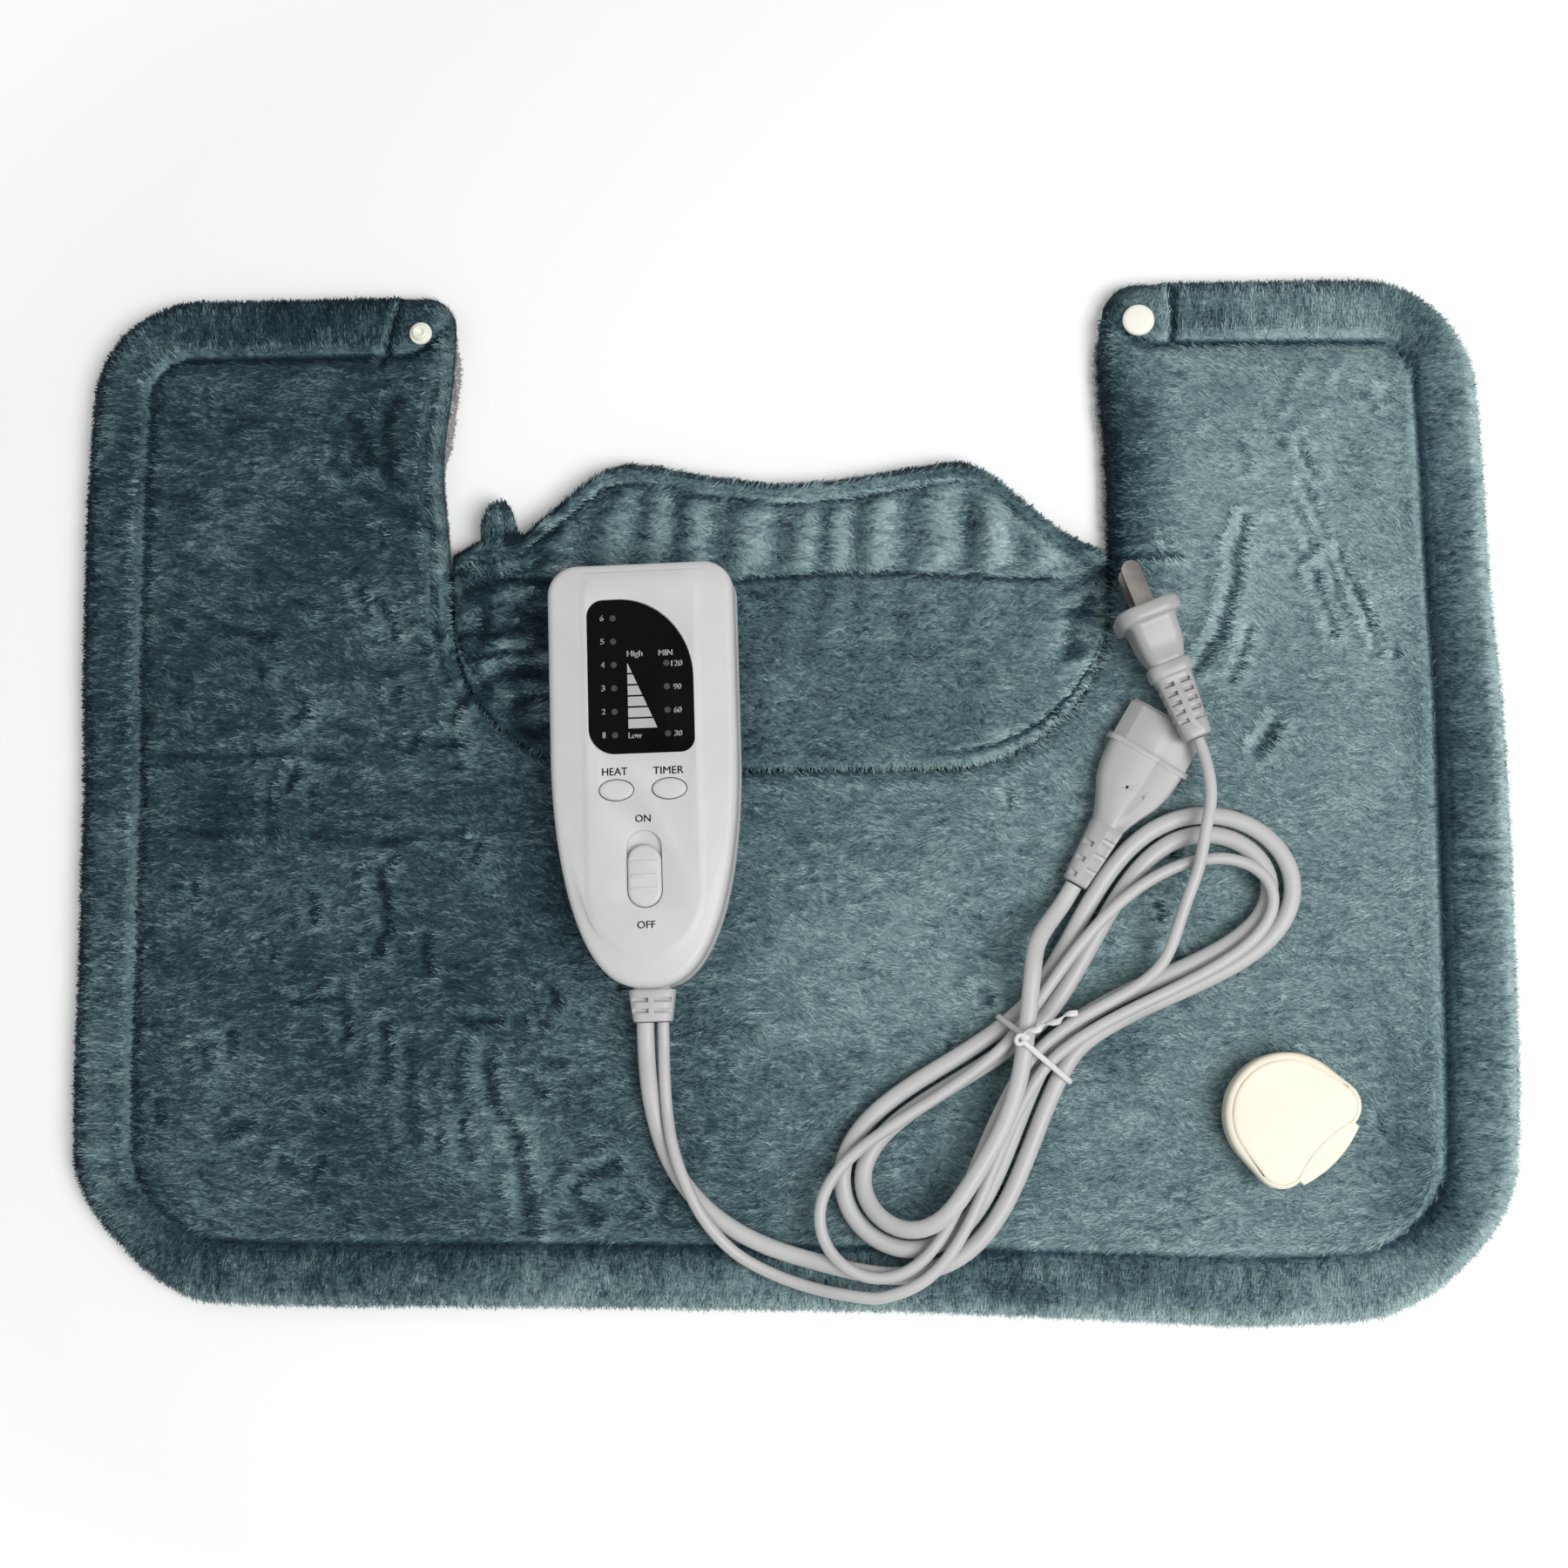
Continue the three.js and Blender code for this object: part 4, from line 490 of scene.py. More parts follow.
def hank_point(u, v, z):
    bent = math.hypot(max(u, 0), HANK_BEND_SOFT) - HANK_BEND_SOFT
    return in_hank(u, v - HANK_BEND * bent / HANK_REACH, z)


def loop_point(angle, out, half, near_r, far_r, slant, shift):
    def at(a):
        along = math.cos(a)
        end_r = near_r + (far_r - near_r) * (0.5 + 0.5 * along)
        wide = math.sqrt(end_r * half) * abs(along) ** HANK_PINCH
        return np.array((shift + half * along, math.sin(a) * wide + slant * max(along, 0) ** 2))

    along = at(angle + 1e-4) - at(angle - 1e-4)
    along /= np.linalg.norm(along)
    return at(angle) + out * np.array((along[1], -along[0]))


def bezier(p0, p1, p2, p3, steps):
    t = np.linspace(0, 1, steps + 1)[1:, None]
    s = 1 - t
    return s**3 * p0 + 3 * s * s * t * p1 + 3 * s * t * t * p2 + t**3 * p3


def hank_points(start, stop, turns_out, pitch, layer, climb, loop, end, heading, reaches):
    """Loops that wind inwards from one angle to another, then a run out to the end."""
    steps = round((stop - start) / 360 * 72)
    flat = []
    for degrees in np.linspace(start, stop, steps + 1):
        out = pitch * (turns_out - (degrees - start) / 360)
        u, v = loop_point(math.radians(degrees), out, *loop)
        climbed = smooth((degrees - climb[0]) / (climb[1] - climb[0]))
        flat.append((u, v, layer + (climb[2] - layer) * climbed))
    flat = np.array(flat)
    along = flat[-1] - flat[-2]
    along /= np.linalg.norm(along)
    leave = np.array(heading, float)
    leave /= np.linalg.norm(leave)
    finish = np.array(end, float)
    run = bezier(flat[-1], flat[-1] + along * reaches[0], finish - leave * reaches[1], finish, 18)
    return np.array([hank_point(*p) for p in np.vstack([flat, run])])


pad_hank = hank_points(
    start=200, stop=945, turns_out=2, pitch=PAD_CORD_D + 1.0, layer=LOW_LAYER,
    climb=(865, 935, TOP_LAYER), loop=(80, 16.4, 16.4, -2, 9),
    end=(14, 12, TOP_LAYER), heading=(1, 0.75, 0), reaches=(30, 30),
)
mains_hank = hank_points(
    start=200, stop=650, turns_out=1.75, pitch=MAINS_CORD_D + 1.4, layer=MID_LAYER,
    climb=(600, 660, MID_LAYER), loop=(84, 16, 6.8, -9, -2),
    end=(72, 2, CROSS_LAYER), heading=(1, 0.5, 0.12), reaches=(24, 28),
)


def past_ends(points, diameter):
    """Two points past each end of a hank, the outer one a diameter further: before it, and after it."""
    pairs = []
    for end, inner in ((points[0], points[1]), (points[-1], points[-2])):
        out = (end - inner) / np.linalg.norm(end - inner)
        pairs.append((end + out * CLEAR, end + out * (diameter + CLEAR)))
    return pairs[0][::-1], pairs[1]


def local_point(at, turn, along, z):
    a = math.radians(turn)
    return np.array((at[0] + along * math.cos(a), at[1] + along * math.sin(a), z))


def gland_exit(x):
    a = math.radians(CTRL_TURN)
    spots = []
    for y in (-CTRL_L / 2 - GLAND_L - CLEAR, -CTRL_L / 2 - GLAND_L - CLEAR - PAD_CORD_D):
        px = CTRL_AT[0] + x * math.cos(a) - y * math.sin(a)
        spots.append(np.array((px, CTRL_AT[1] + x * math.sin(a) + y * math.cos(a), REST_Z + GLAND_Z)))
    return spots


def rise(*points):
    return [np.array((x, y, REST_Z + z)) for x, y, z in points]


PLUG_AT, PLUG_TURN, PLUG_Z = (118.3, 54.8), -68.6, REST_Z + 13
JOINT_AT, JOINT_TURN, JOINT_Z = (119.4, 8.7), 60, REST_Z + 4.5
before_pad, after_pad = past_ends(pad_hank, PAD_CORD_D)
before_mains, after_mains = past_ends(mains_hank, MAINS_CORD_D)
pad_lead = [
    *gland_exit(-2.5),
    *rise(
        (-39.4, -93, 7.4), (-38, -104, 4.2), (-33.6, -118, 3.2), (-25.4, -130.4, 3.2),
        (-13.4, -140.4, 3.2), (0, -146.8, 3.2), (17, -151.6, 3.4), (32, -154.6, 3.9),
    ),
    *before_pad,
]
mains_lead = [
    *gland_exit(3.2),
    *rise(
        (-34.2, -92, 7.6), (-33.4, -104, 6.2), (-31.4, -115, 7.8), (-27.2, -126.5, 8.8),
        (-20.8, -138.5, 7.4), (-11.4, -148.6, 3.6), (0.5, -155, 2.4), (14, -159.2, 4.2), (26, -161, 8),
    ),
    *before_mains,
]
mains_tail = [
    *after_mains,
    *rise((136.2, -17, 14.4), (138.4, -4, 14)),
    *(local_point(PLUG_AT, PLUG_TURN, along, PLUG_Z) for along in (48.8, 45.0)),
]
pad_tail = [
    *after_pad,
    *rise((83.6, -51, 12)),
    *(local_point(JOINT_AT, JOINT_TURN, along, JOINT_Z) for along in (-53.2, -47.6)),
]


def smooth_run(points, steps=8):
    """A curve through given points, slack in proportion to the distance between them."""
    p = [2 * points[0] - points[1], *points, 2 * points[-1] - points[-2]]
    out = [points[0]]
    for i in range(1, len(p) - 2):
        a, b, c, d = p[i - 1 : i + 3]
        t0, t1, t2 = (max(np.linalg.norm(q - r), 1e-6) ** 0.5 for q, r in ((b, a), (c, b), (d, c)))
        m1 = ((b - a) / t0 - (c - a) / (t0 + t1) + (c - b) / t1) * t1
        m2 = ((c - b) / t1 - (d - b) / (t1 + t2) + (d - c) / t2) * t1
        for t in np.linspace(0, 1, steps + 1)[1:]:
            h = (2 * t**3 - 3 * t * t + 1, t**3 - 2 * t * t + t, 3 * t * t - 2 * t**3, t**3 - t * t)
            out.append(h[0] * b + h[1] * m1 + h[2] * c + h[3] * m2)
    return np.array(out)


def even_steps(points, step):
    gaps = np.linalg.norm(np.diff(points, axis=0), axis=1)
    along = np.concatenate([[0], np.cumsum(gaps)])
    spots = np.linspace(0, along[-1], int(along[-1] / step) + 1)
    return np.stack([np.interp(spots, along, points[:, k]) for k in range(3)], axis=1), along[-1]


def settle(points, passes):
    """Evens out the joins between stretches, ends left alone."""
    points = points.copy()
    for _ in range(passes):
        points[2:-2] = (points[1:-3] + 2 * points[2:-2] + points[3:-1]) / 4
    return points


def cord_tube(name, points, width, height, sides=16, level=(0, 0, 1), twist=0.0):
    """A tube of oval rings along a line, its broad side across the line and the level direction."""
    line = np.array(points)
    along = np.gradient(line, axis=0)
    along /= np.linalg.norm(along, axis=1)[:, None]
    side = np.cross(level, along)
    side /= np.linalg.norm(side, axis=1)[:, None]
    up = np.cross(along, side)
    if twist:
        wind = np.linspace(0, 2 * math.pi * twist, len(line))[:, None]
        side, up = side * np.cos(wind) + up * np.sin(wind), up * np.cos(wind) - side * np.sin(wind)
    angles = 2 * math.pi * (np.arange(sides) + 0.5) / sides
    ring = line[:, None, :] + (
        side[:, None, :] * (np.cos(angles) * width / 2)[None, :, None]
        + up[:, None, :] * (np.sin(angles) * height / 2)[None, :, None]
    )
    faces = []
    for r in range(len(line) - 1):
        for k in range(sides):
            a, b = r * sides + k, r * sides + (k + 1) % sides
            faces.append((a, b, b + sides, a + sides))
    faces.append(tuple(range(sides))[::-1])
    faces.append(tuple(range((len(line) - 1) * sides, len(line) * sides)))
    mesh = bpy.data.meshes.new(name)
    mesh.from_pydata(ring.reshape(-1, 3).tolist(), [], faces)
    mesh.transform(placed(0, 0, 0))
    obj = new_object(name, mesh)
    soften(obj, 0, 50)
    return obj


def whole_cord(kind, lead, hank, tail, width, height):
    """One unbroken cord: the piece, the line along its middle and its length in metres."""
    points, _ = even_steps(np.vstack([smooth_run(lead), hank, smooth_run(tail)]), 1.0)
    points, length = even_steps(settle(points, 12), 2.2)
    obj = cord_tube(kind, points, width, height)
    finish_piece(obj, *JACKET, *(f"{kind}_{part}" for part in ("lead", "hank", "tail")))
    return obj, points * MM, length * MM


pad_cord, pad_cord_path, pad_cord_length = whole_cord(
    "pad_cord", pad_lead, pad_hank, pad_tail, PAD_CORD_D, 4.6
)
mains_cord, mains_cord_path, mains_cord_length = whole_cord(
    "mains_cord", mains_lead, mains_hank, mains_tail, MAINS_CORD_D, 3.6
)


# Tie round the waist of the hank, with a small knot and a twisted end
TIE_OUT = 0.95


def waist_spots():
    """Where the strands cross the waist: across the hank, height and radius."""
    c, s = math.cos(HANK_TURN), math.sin(HANK_TURN)
    spots = []
    for path, radius in ((pad_cord_path, PAD_CORD_D / 2), (mains_cord_path, MAINS_CORD_D / 2)):
        points = path / MM
        x, y = points[:, 0] - HANK_AT[0], points[:, 1] - HANK_AT[1]
        u, v = x * c + y * s, y * c - x * s
        for i in np.flatnonzero((u[:-1] * u[1:] <= 0) & (np.abs(v[:-1]) < 30)):
            spots.append((v[i], points[i, 2], radius))
    return spots


def hull(points):
    """The outer points of a flat set, going round it."""
    points = sorted(map(tuple, points))

    def half(run):
        kept = []
        for p in run:
            while len(kept) > 1:
                (ax, ay), (bx, by) = kept[-2:]
                if (bx - ax) * (p[1] - ay) - (by - ay) * (p[0] - ax) > 0:
                    break
                kept.pop()
            kept.append(p)
        return kept[:-1]

    return half(points) + half(points[::-1])


def tie_piece():
    rim = [
        (v + (r + TIE_OUT) * math.cos(a), z + (r + TIE_OUT) * math.sin(a))
        for v, z, r in waist_spots() for a in np.linspace(0, 2 * math.pi, 24, endpoint=False)
    ]
    loop = np.array(hull(rim))
    start = np.abs(loop[:, 0] - 2.5 - 100 * (loop[:, 1] < 24)).argmin()
    loop = np.vstack([loop[start:], loop[: start + 1]])
    knot_v, knot_z = loop[0]
    loop, _ = even_steps(np.column_stack([np.zeros(len(loop)), loop]), 1.0)
    slant = np.linspace(-0.8, 0.8, len(loop))
    axis = (math.cos(HANK_TURN), math.sin(HANK_TURN), 0)
    ring = [in_hank(u, v, z) for u, (_, v, z) in zip(slant, loop)]
    band = cord_tube("tie", ring, 1.1, 1.9, 12, axis)
    end = [
        (0.2, 0, 0.6), (2.6, 0.9, 1.3), (5, -1.6, 1.7), (8, -2.2, 1.0), (11, -4.6, 1.5), (14, -5, 0.7),
        (17, -7.4, 0.5),
    ]
    spots = [in_hank(u, knot_v + v, knot_z + z) for u, v, z in end]
    tail = cord_tube("tie_end", smooth_run(spots), 2.0, 0.7, 10, twist=1.6)
    eye = new_shape(
        bpy.ops.mesh.primitive_torus_add, major_segments=24, minor_segments=12,
        major_radius=1.5 * MM, minor_radius=0.75 * MM,
        location=Vector(in_hank(-0.9, knot_v + 0.6, knot_z + 0.9)) * MM, rotation=(0.5, 0.3, 0.4),
    )
    knot = new_shape(
        bpy.ops.mesh.primitive_uv_sphere_add, segments=20, ring_count=12, radius=1.35 * MM,
        location=Vector(in_hank(0.6, knot_v, knot_z + 0.6)) * MM, scale=(1.25, 1.0, 0.85),
    )
    only(band, tail, eye, knot)
    bpy.ops.object.join()
    soften(band, 0, 50)
    return finish_piece(band, tie_white, "pad", "cord_jacket", "cord_tie")


tie = tie_piece()


# Pad cloth
PAD_W, PAD_D = 465, 336
LOW_R, TOP_R, TIP_R = 48, 35, 10
NECK_HALF, NECK_BOTTOM, NECK_R = 109, 6, 55
SEAM_X = NECK_HALF + 20
CHANNEL = 21.5
CLOTH_LOW, CLOTH_HIGH = 3.3, 12.0


def border_right():
    """The outer border of the right half, from the middle of the low edge to the flap's cross seam."""
    x, y = PAD_W / 2, PAD_D / 2
    return [
        (0, -y),
        *arc(x - LOW_R, LOW_R - y, LOW_R, LOW_R, -90, 0, 24),
        *arc(x - TOP_R, y - TOP_R, TOP_R, TOP_R, 0, 90, 20),
        (SEAM_X, y),
    ]


def neck_right():
    """The flap's tip and the neck edge of the right half, from the cross seam to the middle."""
    y = PAD_D / 2
    return [
        (SEAM_X, y),
        *arc(NECK_HALF + TIP_R, y - TIP_R, TIP_R, TIP_R, 90, 180, 10),
        *arc(NECK_HALF - NECK_R, NECK_BOTTOM + NECK_R, NECK_R, NECK_R, 0, -90, 24),
        (0, NECK_BOTTOM),
    ]


def whole_outline(step):
    """The outline of both halves, with points set in where they would lie far apart."""
    half = border_right()[1:] + neck_right()[1:-1]
    corners = half + [(-x, y) for x, y in reversed(half)]
    points = []
    for a, b in zip(corners, corners[1:] + corners[:1]):
        parts = max(1, round(math.dist(a, b) / step))
        for k in range(parts):
            points.append((a[0] + (b[0] - a[0]) * k / parts, a[1] + (b[1] - a[1]) * k / parts))
    return np.array(points)


BORDER = np.array(border_right())
NECK = np.array(neck_right())
OUTLINE = whole_outline(6)


def distance_to(line, points):
    """Least distance from points to a line of straight pieces, millimetres."""
    best = np.full(len(points), 1e9)
    for a, b in zip(line[:-1], line[1:]):
        d = b - a
        t = np.clip(((points - a) @ d) / max(d @ d, 1e-9), 0, 1)
        best = np.minimum(best, np.hypot(*(points - a - t[:, None] * d).T))
    return best


def fold_over(points):
    """Both halves laid on the right one."""
    return np.stack([np.abs(points[:, 0]), points[:, 1]], axis=1)


def border_and_neck(points):
    return distance_to(BORDER, fold_over(points)), distance_to(NECK, fold_over(points))


LATTICE = np.random.default_rng(5).random((257, 257))


def ripple(x, y, size, offset=0):
    """Soft unevenness from -1 to 1 with bumps of about the given size."""
    u = np.asarray(x) / size + 61.3 + offset * 17.7
    v = np.asarray(y) / size + 83.1 + offset * 5.9
    i, j = np.floor(u).astype(int), np.floor(v).astype(int)
    fu, fv = smooth(u - i), smooth(v - j)
    i, j = i % 256, j % 256
    low = blend(LATTICE[i, j], LATTICE[i + 1, j], fu)
    high = blend(LATTICE[i, j + 1], LATTICE[i + 1, j + 1], fu)
    return 2 * blend(low, high, fv) - 1


# Creases in the cloth: a line, its depth and its half width, millimetres
CREASES = [
    ([(167.8, 121.8), (169.2, 129.8), (175, 136.9)], -0.4, 1.62),
    ([(171, 112.9), (175.9, 102.2)], 0.8, 1.35),
    ([(171.9, 98.7), (175.1, 92.5), (178, 84.6)], 0.9, 1.35),
    ([(168.8, 92.6), (172.5, 83.8), (175.7, 75.8)], 0.7, 1.22),
    ([(161, 85.7), (166.8, 80.3), (171, 75)], 0.4, 1.35),
    ([(174.6, 70.6), (178.2, 59.2), (180.8, 48.7)], 0.8, 1.35),
    ([(180.2, 71.4), (183.3, 59.1)], 0.4, 1.22),
    ([(183.7, 74), (189.3, 60.8), (195.5, 43.4)], 0.7, 1.35),
    ([(187.7, 64.3), (194, 50.3), (201.4, 41.6)], 0.7, 1.35),
    ([(173.4, 70.6), (176.9, 75.8), (181.2, 78)], -0.6, 1.62),
    ([(152.8, 87.5), (149.7, 75.3), (148.6, 64.8), (144.1, 49.1), (137.1, 38.4)], 1, 1.8),
    ([(154.3, 50.7), (150.7, 42.1), (147.2, 35.1)], 0.7, 1.4),
    ([(143.7, 116.9), (151.3, 112.3), (153.2, 103.4)], 0.5, 1.49),
    ([(124.3, 141.4), (135.4, 134.9)], 0.4, 1.35),
    ([(186, 132.2), (194.4, 126.7)], 0.9, 2),
    ([(194.3, 122.3), (201.2, 127.5)], 0.4, 1.35),
    ([(160.1, 122), (165, 110.3)], 0.4, 1.35),
    ([(161.2, 19.5), (155.2, 10.9)], 0.9, 1.8),
    ([(112.9, 75.7), (121.5, 76.1), (130.9, 75.5)], 0.8, 1.4),
    ([(-129.9, -27.8), (-125.9, -45.7), (-129.8, -51.7)], 1.1, 1.92),
    ([(-141.1, -64.6), (-139.7, -79.4)], 1, 1.92),
    ([(-126.7, -77.4), (-126.4, -92.1)], 1, 1.92),
    ([(-118.6, -82.3), (-117, -111.6)], 0.5, 2.4),
    ([(-110.6, -94.2), (-108.5, -105.6)], 0.4, 2.4),
    ([(-102.6, -86.3), (-103.1, -99), (-99.1, -117.5)], 0.5, 2.4),
    ([(-83.2, -114.4), (-77.8, -141.4)], 1, 2.4),
    ([(-155.2, -67.5), (-144, -68.5)], 0.8, 1.92),
    ([(-180.1, -111.9), (-171.1, -107.9)], 0.8, 1.92),
    ([(-113.3, -48.7), (-113.1, -58.6)], 0.8, 1.92),
    ([(-147, 110.2), (-133, 99.1), (-113.1, 86)], 1.2, 2.2),
    ([(-141.5, 125), (-133.3, 112.9), (-125.2, 102.9)], 1, 2.4),
    ([(-125.8, 130.7), (-129.5, 120.8), (-125.4, 110.8)], 0.9, 2.08),
    ([(-192.8, 60.4), (-182.8, 54.4), (-167, 52.3)], 0.8, 2),
    ([(-138.1, 66.7), (-135, 59.8)], 0.9, 1.5),
    ([(-132.1, 63.7), (-126, 51.9)], 0.9, 1.5),
    ([(-122.3, 57.7), (-112.4, 51.8)], 0.9, 1.5),
    ([(-162.7, 36.7), (-154.6, 26.9), (-158.5, 25)], 1, 2),
    ([(-106.1, 24.6), (-102.4, 32.3), (-98.5, 34.2)], 0.9, 1.8),
    ([(-148.7, 24.9), (-131, 15.1), (-104, 15)], 0.9, 2.2),
    ([(-204.9, 11.7), (-162, 13.4), (-103.9, 9.2)], 0.6, 1.92),
    ([(-212, -11.4), (-171, -13.8), (-137.1, -15), (-103.4, -14.1)], 0.35, 1.92),
    ([(-102.3, -74.6), (-90.1, -74.6)], 0.9, 1.6),
    ([(-93.2, -86.6), (-90.7, -101.7), (-81.7, -114.6)], 0.9, 2.08),
    ([(-152.3, -33.9), (-151, -42.8)], 0.9, 1.6),
    ([(-166.9, -36.1), (-163.4, -39.4)], 0.9, 1.6),
    ([(-61.8, -125.2), (-51, -120.9)], 0.9, 2),
    ([(-64, -129.5), (-57.3, -138)], 0.9, 2),
    ([(-158.9, -121.5), (-140.8, -134.3), (-136.3, -138.5)], 0.7, 2),
]


def scuffs(count):
    """Short marks left in the pile by handling, most of them on the left."""
    spots = np.random.default_rng(8)
    lines = []
    for _ in range(count):
        x, y = 205 - 410 * spots.random() ** 0.6, spots.uniform(-138, 138)
        angle = spots.normal(1.9, 0.5)
        reach = spots.uniform(1.5, 4.5)
        step = (reach * math.cos(angle), reach * math.sin(angle))
        ends = [(x - step[0], y - step[1]), (x + step[0], y + step[1])]
        lines.append((ends, spots.uniform(0.4, 0.9), spots.uniform(1.1, 1.7)))
    return lines


CREASES += scuffs(90)
# Seams across the band at the flap tips
CROSS_SEAMS = np.array([[(130.4, 166.3), (131.5, 147.7)], [(-127.3, 165.5), (-132.2, 144.5)]])
# Places where the pile is painted darker or lighter: brushed tone, and painted shade and painted sheen such
# as the shadow strip along the right flap's neck edge, the shaded inner half of the right band and a pool of
# painted light on the right flap: centre, reach both ways, amount
PATCHES = [
    (114, 108, 13, 35, -0.36), (113, 74, 11, 11, -0.15), (172, 97, 42, 42, 0.09),
    (143, 154, 14, 7, -0.2), (213, 148, 9, 11, -0.12), (201, -110, 10, 25, -0.16),
    (207, -137, 14, 11, -0.15), (110, -84, 11, 8, -0.16), (77, -158, 11, 7, -0.2),
    (121, -156, 33, 6, -0.1), (-172, -9, 31, 12, -0.1), (-127, 114, 11, 20, -0.13),
    (-173, 126, 33, 11, -0.05), (-165, 159, 25, 7, -0.1), (-213, 150, 11, 11, 0.06),
    (-93, -117, 25, 19, 0.1), (-187, -77, 17, 28, -0.03), (25, -62, 45, 45, 0.09),
    (-60, -160, 80, 6, 0.19), (-222, -95, 9, 36, 0.16), (-218, -150, 16, 16, 0.08),
    (216.5, 20, 8, 140, -0.27), (-226, 40, 6, 70, -0.04), (-213, -20, 5, 60, 0.05),
    (-185, -95, 40, 45, 0.09), (160, -60, 50, 90, -0.03), (100, -152, 100, 7, -0.05),
    (-60, -75, 60, 40, 0.03),
]
# Side on which a slope of the pile is painted lighter, as sheen
GLOW = (0.8, -0.55)


def crease_depth(points):
    depth = np.zeros(len(points))
    x, y = points.T
    points = points + 0.8 * np.stack([ripple(x, y, 7, 31), ripple(x, y, 7, 32)], axis=1)
    uneven = 0.9 + 0.35 * ripple(x, y, 12, 33)
    for line, deep, half in CREASES:
        line = np.array(line, float)
        near = np.all((points > line.min(0) - 4 * half) & (points < line.max(0) + 4 * half), axis=1)
        away = distance_to(line, points[near]) / half
        depth[near] += deep * (hump(away) - 0.45 * hump(away - 2.2))
    return np.minimum(depth * uneven, 1.0)


def pad_surface(points, crease):
    """Height of the cloth under its pile, with its creases as deep as asked."""
    edge, neck = border_and_neck(points)
    x, y = points.T
    crown = PAD_TOP - 1.5
    roll = np.interp(
        edge,
        (0, 1.5, 3.5, 7, 10.5, 14, 17, 19.4, 20.7, CHANNEL, 22.3, 23.6, 26, 32),
        (6.0, 8.6, 10.6, 12.5, 13.0, 12.8, 12.2, 11.4, 10.2, 9.2, 10.4, 11.3, 11.7, crown),
    )
    free = np.interp(neck, (0, 1, 2.5, 5, 9, 14), (6.3, 8.6, 10.4, 11.7, 12.3, crown))
    joined = np.interp(neck, (0, 1, 3, 6, 10), (10.6, 11.2, 11.7, 11.9, crown))
    piping = hump((neck - 5) / 1.1) * smooth((146 - y) / 10) * smooth((-40 - x) / 20)
    height = np.minimum(roll, blend(free, joined, smooth((74 - y) / 10)))
    inner = smooth((edge - 24) / 8) * smooth((neck - 4) / 10)
    height = height - crease * inner * crease_depth(points)
    height = height + inner * (0.4 * ripple(x, y, 34, 1) + 0.4 * ripple(x, y, 15, 2) - 0.3)
    band = smooth((23 - edge) / 4) * smooth(edge / 6)
    height = height + band * (0.7 * ripple(x, y, 17, 3) + 0.3 * ripple(x, y, 8, 4) - 0.3)
    height = height - 1.3 * piping
    for seam in CROSS_SEAMS:
        away = distance_to(seam, points)
        height = height - 2.4 * hump(away / 1.5) * smooth((height - 7) / 3)
    return np.minimum(height, PAD_TOP - 0.4)


def remesh(obj, voxel):
    obj.data.remesh_voxel_size = voxel * MM
    only(obj)
    bpy.ops.object.voxel_remesh()


def inflate(obj, held, pressure, slack, cap, steps=20):
    """Cloth simulation: a closed piece swells and wrinkles between the held points, by the cap at most."""
    scene = bpy.context.scene
    rest = coords(obj.data)
    group = obj.vertex_groups.new(name="held")
    group.add(np.flatnonzero(held).tolist(), 1.0, "REPLACE")
    cloth = obj.modifiers.new("cloth", "CLOTH")
    cloth.settings.quality = 4
    cloth.settings.use_pressure = True
    cloth.settings.uniform_pressure_force = pressure
    cloth.settings.effector_weights.gravity = 0
    cloth.settings.shrink_min = -slack
    cloth.settings.vertex_group_mass = group.name
    cloth.point_cache.frame_start = 1
    cloth.point_cache.frame_end = steps
    for step in range(1, steps + 1):
        scene.frame_set(step)
    only(obj)
    bpy.ops.object.modifier_apply(modifier=cloth.name)
    scene.frame_set(1)
    move = coords(obj.data) - rest
    far = np.linalg.norm(move, axis=1)[:, None]
    move *= np.minimum(1, cap * MM / np.maximum(far, 1e-9))
    set_coords(obj.data, rest + move)
    obj.vertex_groups.clear()


def pad_front():
    """The front panel: remeshed, swollen between its seams, then shaped to its rolls and creases."""
    rings = [lift(OUTLINE, CLOTH_LOW), lift(OUTLINE, CLOTH_HIGH - 1)]
    obj = build_up("pad_front", rings, placed(0, 0, 0))
    remesh(obj, 4)
    points = coords(obj.data) / MM
    edge, neck = border_and_neck(points[:, :2])
    sewn = (np.abs(edge - CHANNEL) < 2.5) | (edge < 4) | (neck < 4) | (points[:, 2] < CLOTH_LOW + 2)
    inflate(obj, sewn, pressure=4, slack=0.012, cap=1.0)
    use_modifier(obj, "SUBSURF", levels=1, render_levels=1)
    points = coords(obj.data) / MM
    share = np.clip((points[:, 2] - CLOTH_LOW) / (CLOTH_HIGH - 0.5 - CLOTH_LOW), 0, 1.05)
    points[:, 2] = CLOTH_LOW + share * (pad_surface(points[:, :2], 0.55) - CLOTH_LOW)
    set_coords(obj.data, points * MM)
    return obj


def add_attribute(mesh, name, values):
    layer = mesh.attributes.new(name, "FLOAT", "POINT")
    layer.data.foreach_set("value", np.asarray(values, np.float32))


def patches(points, spots):
    x, y = points.T
    tone = np.zeros(len(points))
    for px, py, rx, ry, amount in spots:
        tone += amount * hump((x - px) / rx) * hump((y - py) / ry)
    return tone


def sheen(height, points):
    """Painted sheen: a lighter tone on slopes turned to one side, a darker one on those turned away."""
    step = 0.5
    right = height(points - (step, 0)) - height(points + (step, 0))
    ahead = height(points - (0, step)) - height(points + (0, step))
    return 0.36 * np.clip((right * GLOW[0] + ahead * GLOW[1]) / (2 * step), -0.7, 0.7)


def smooth_height(points):
    return pad_surface(points, 0)


def crease_height(points):
    return -crease_depth(points)


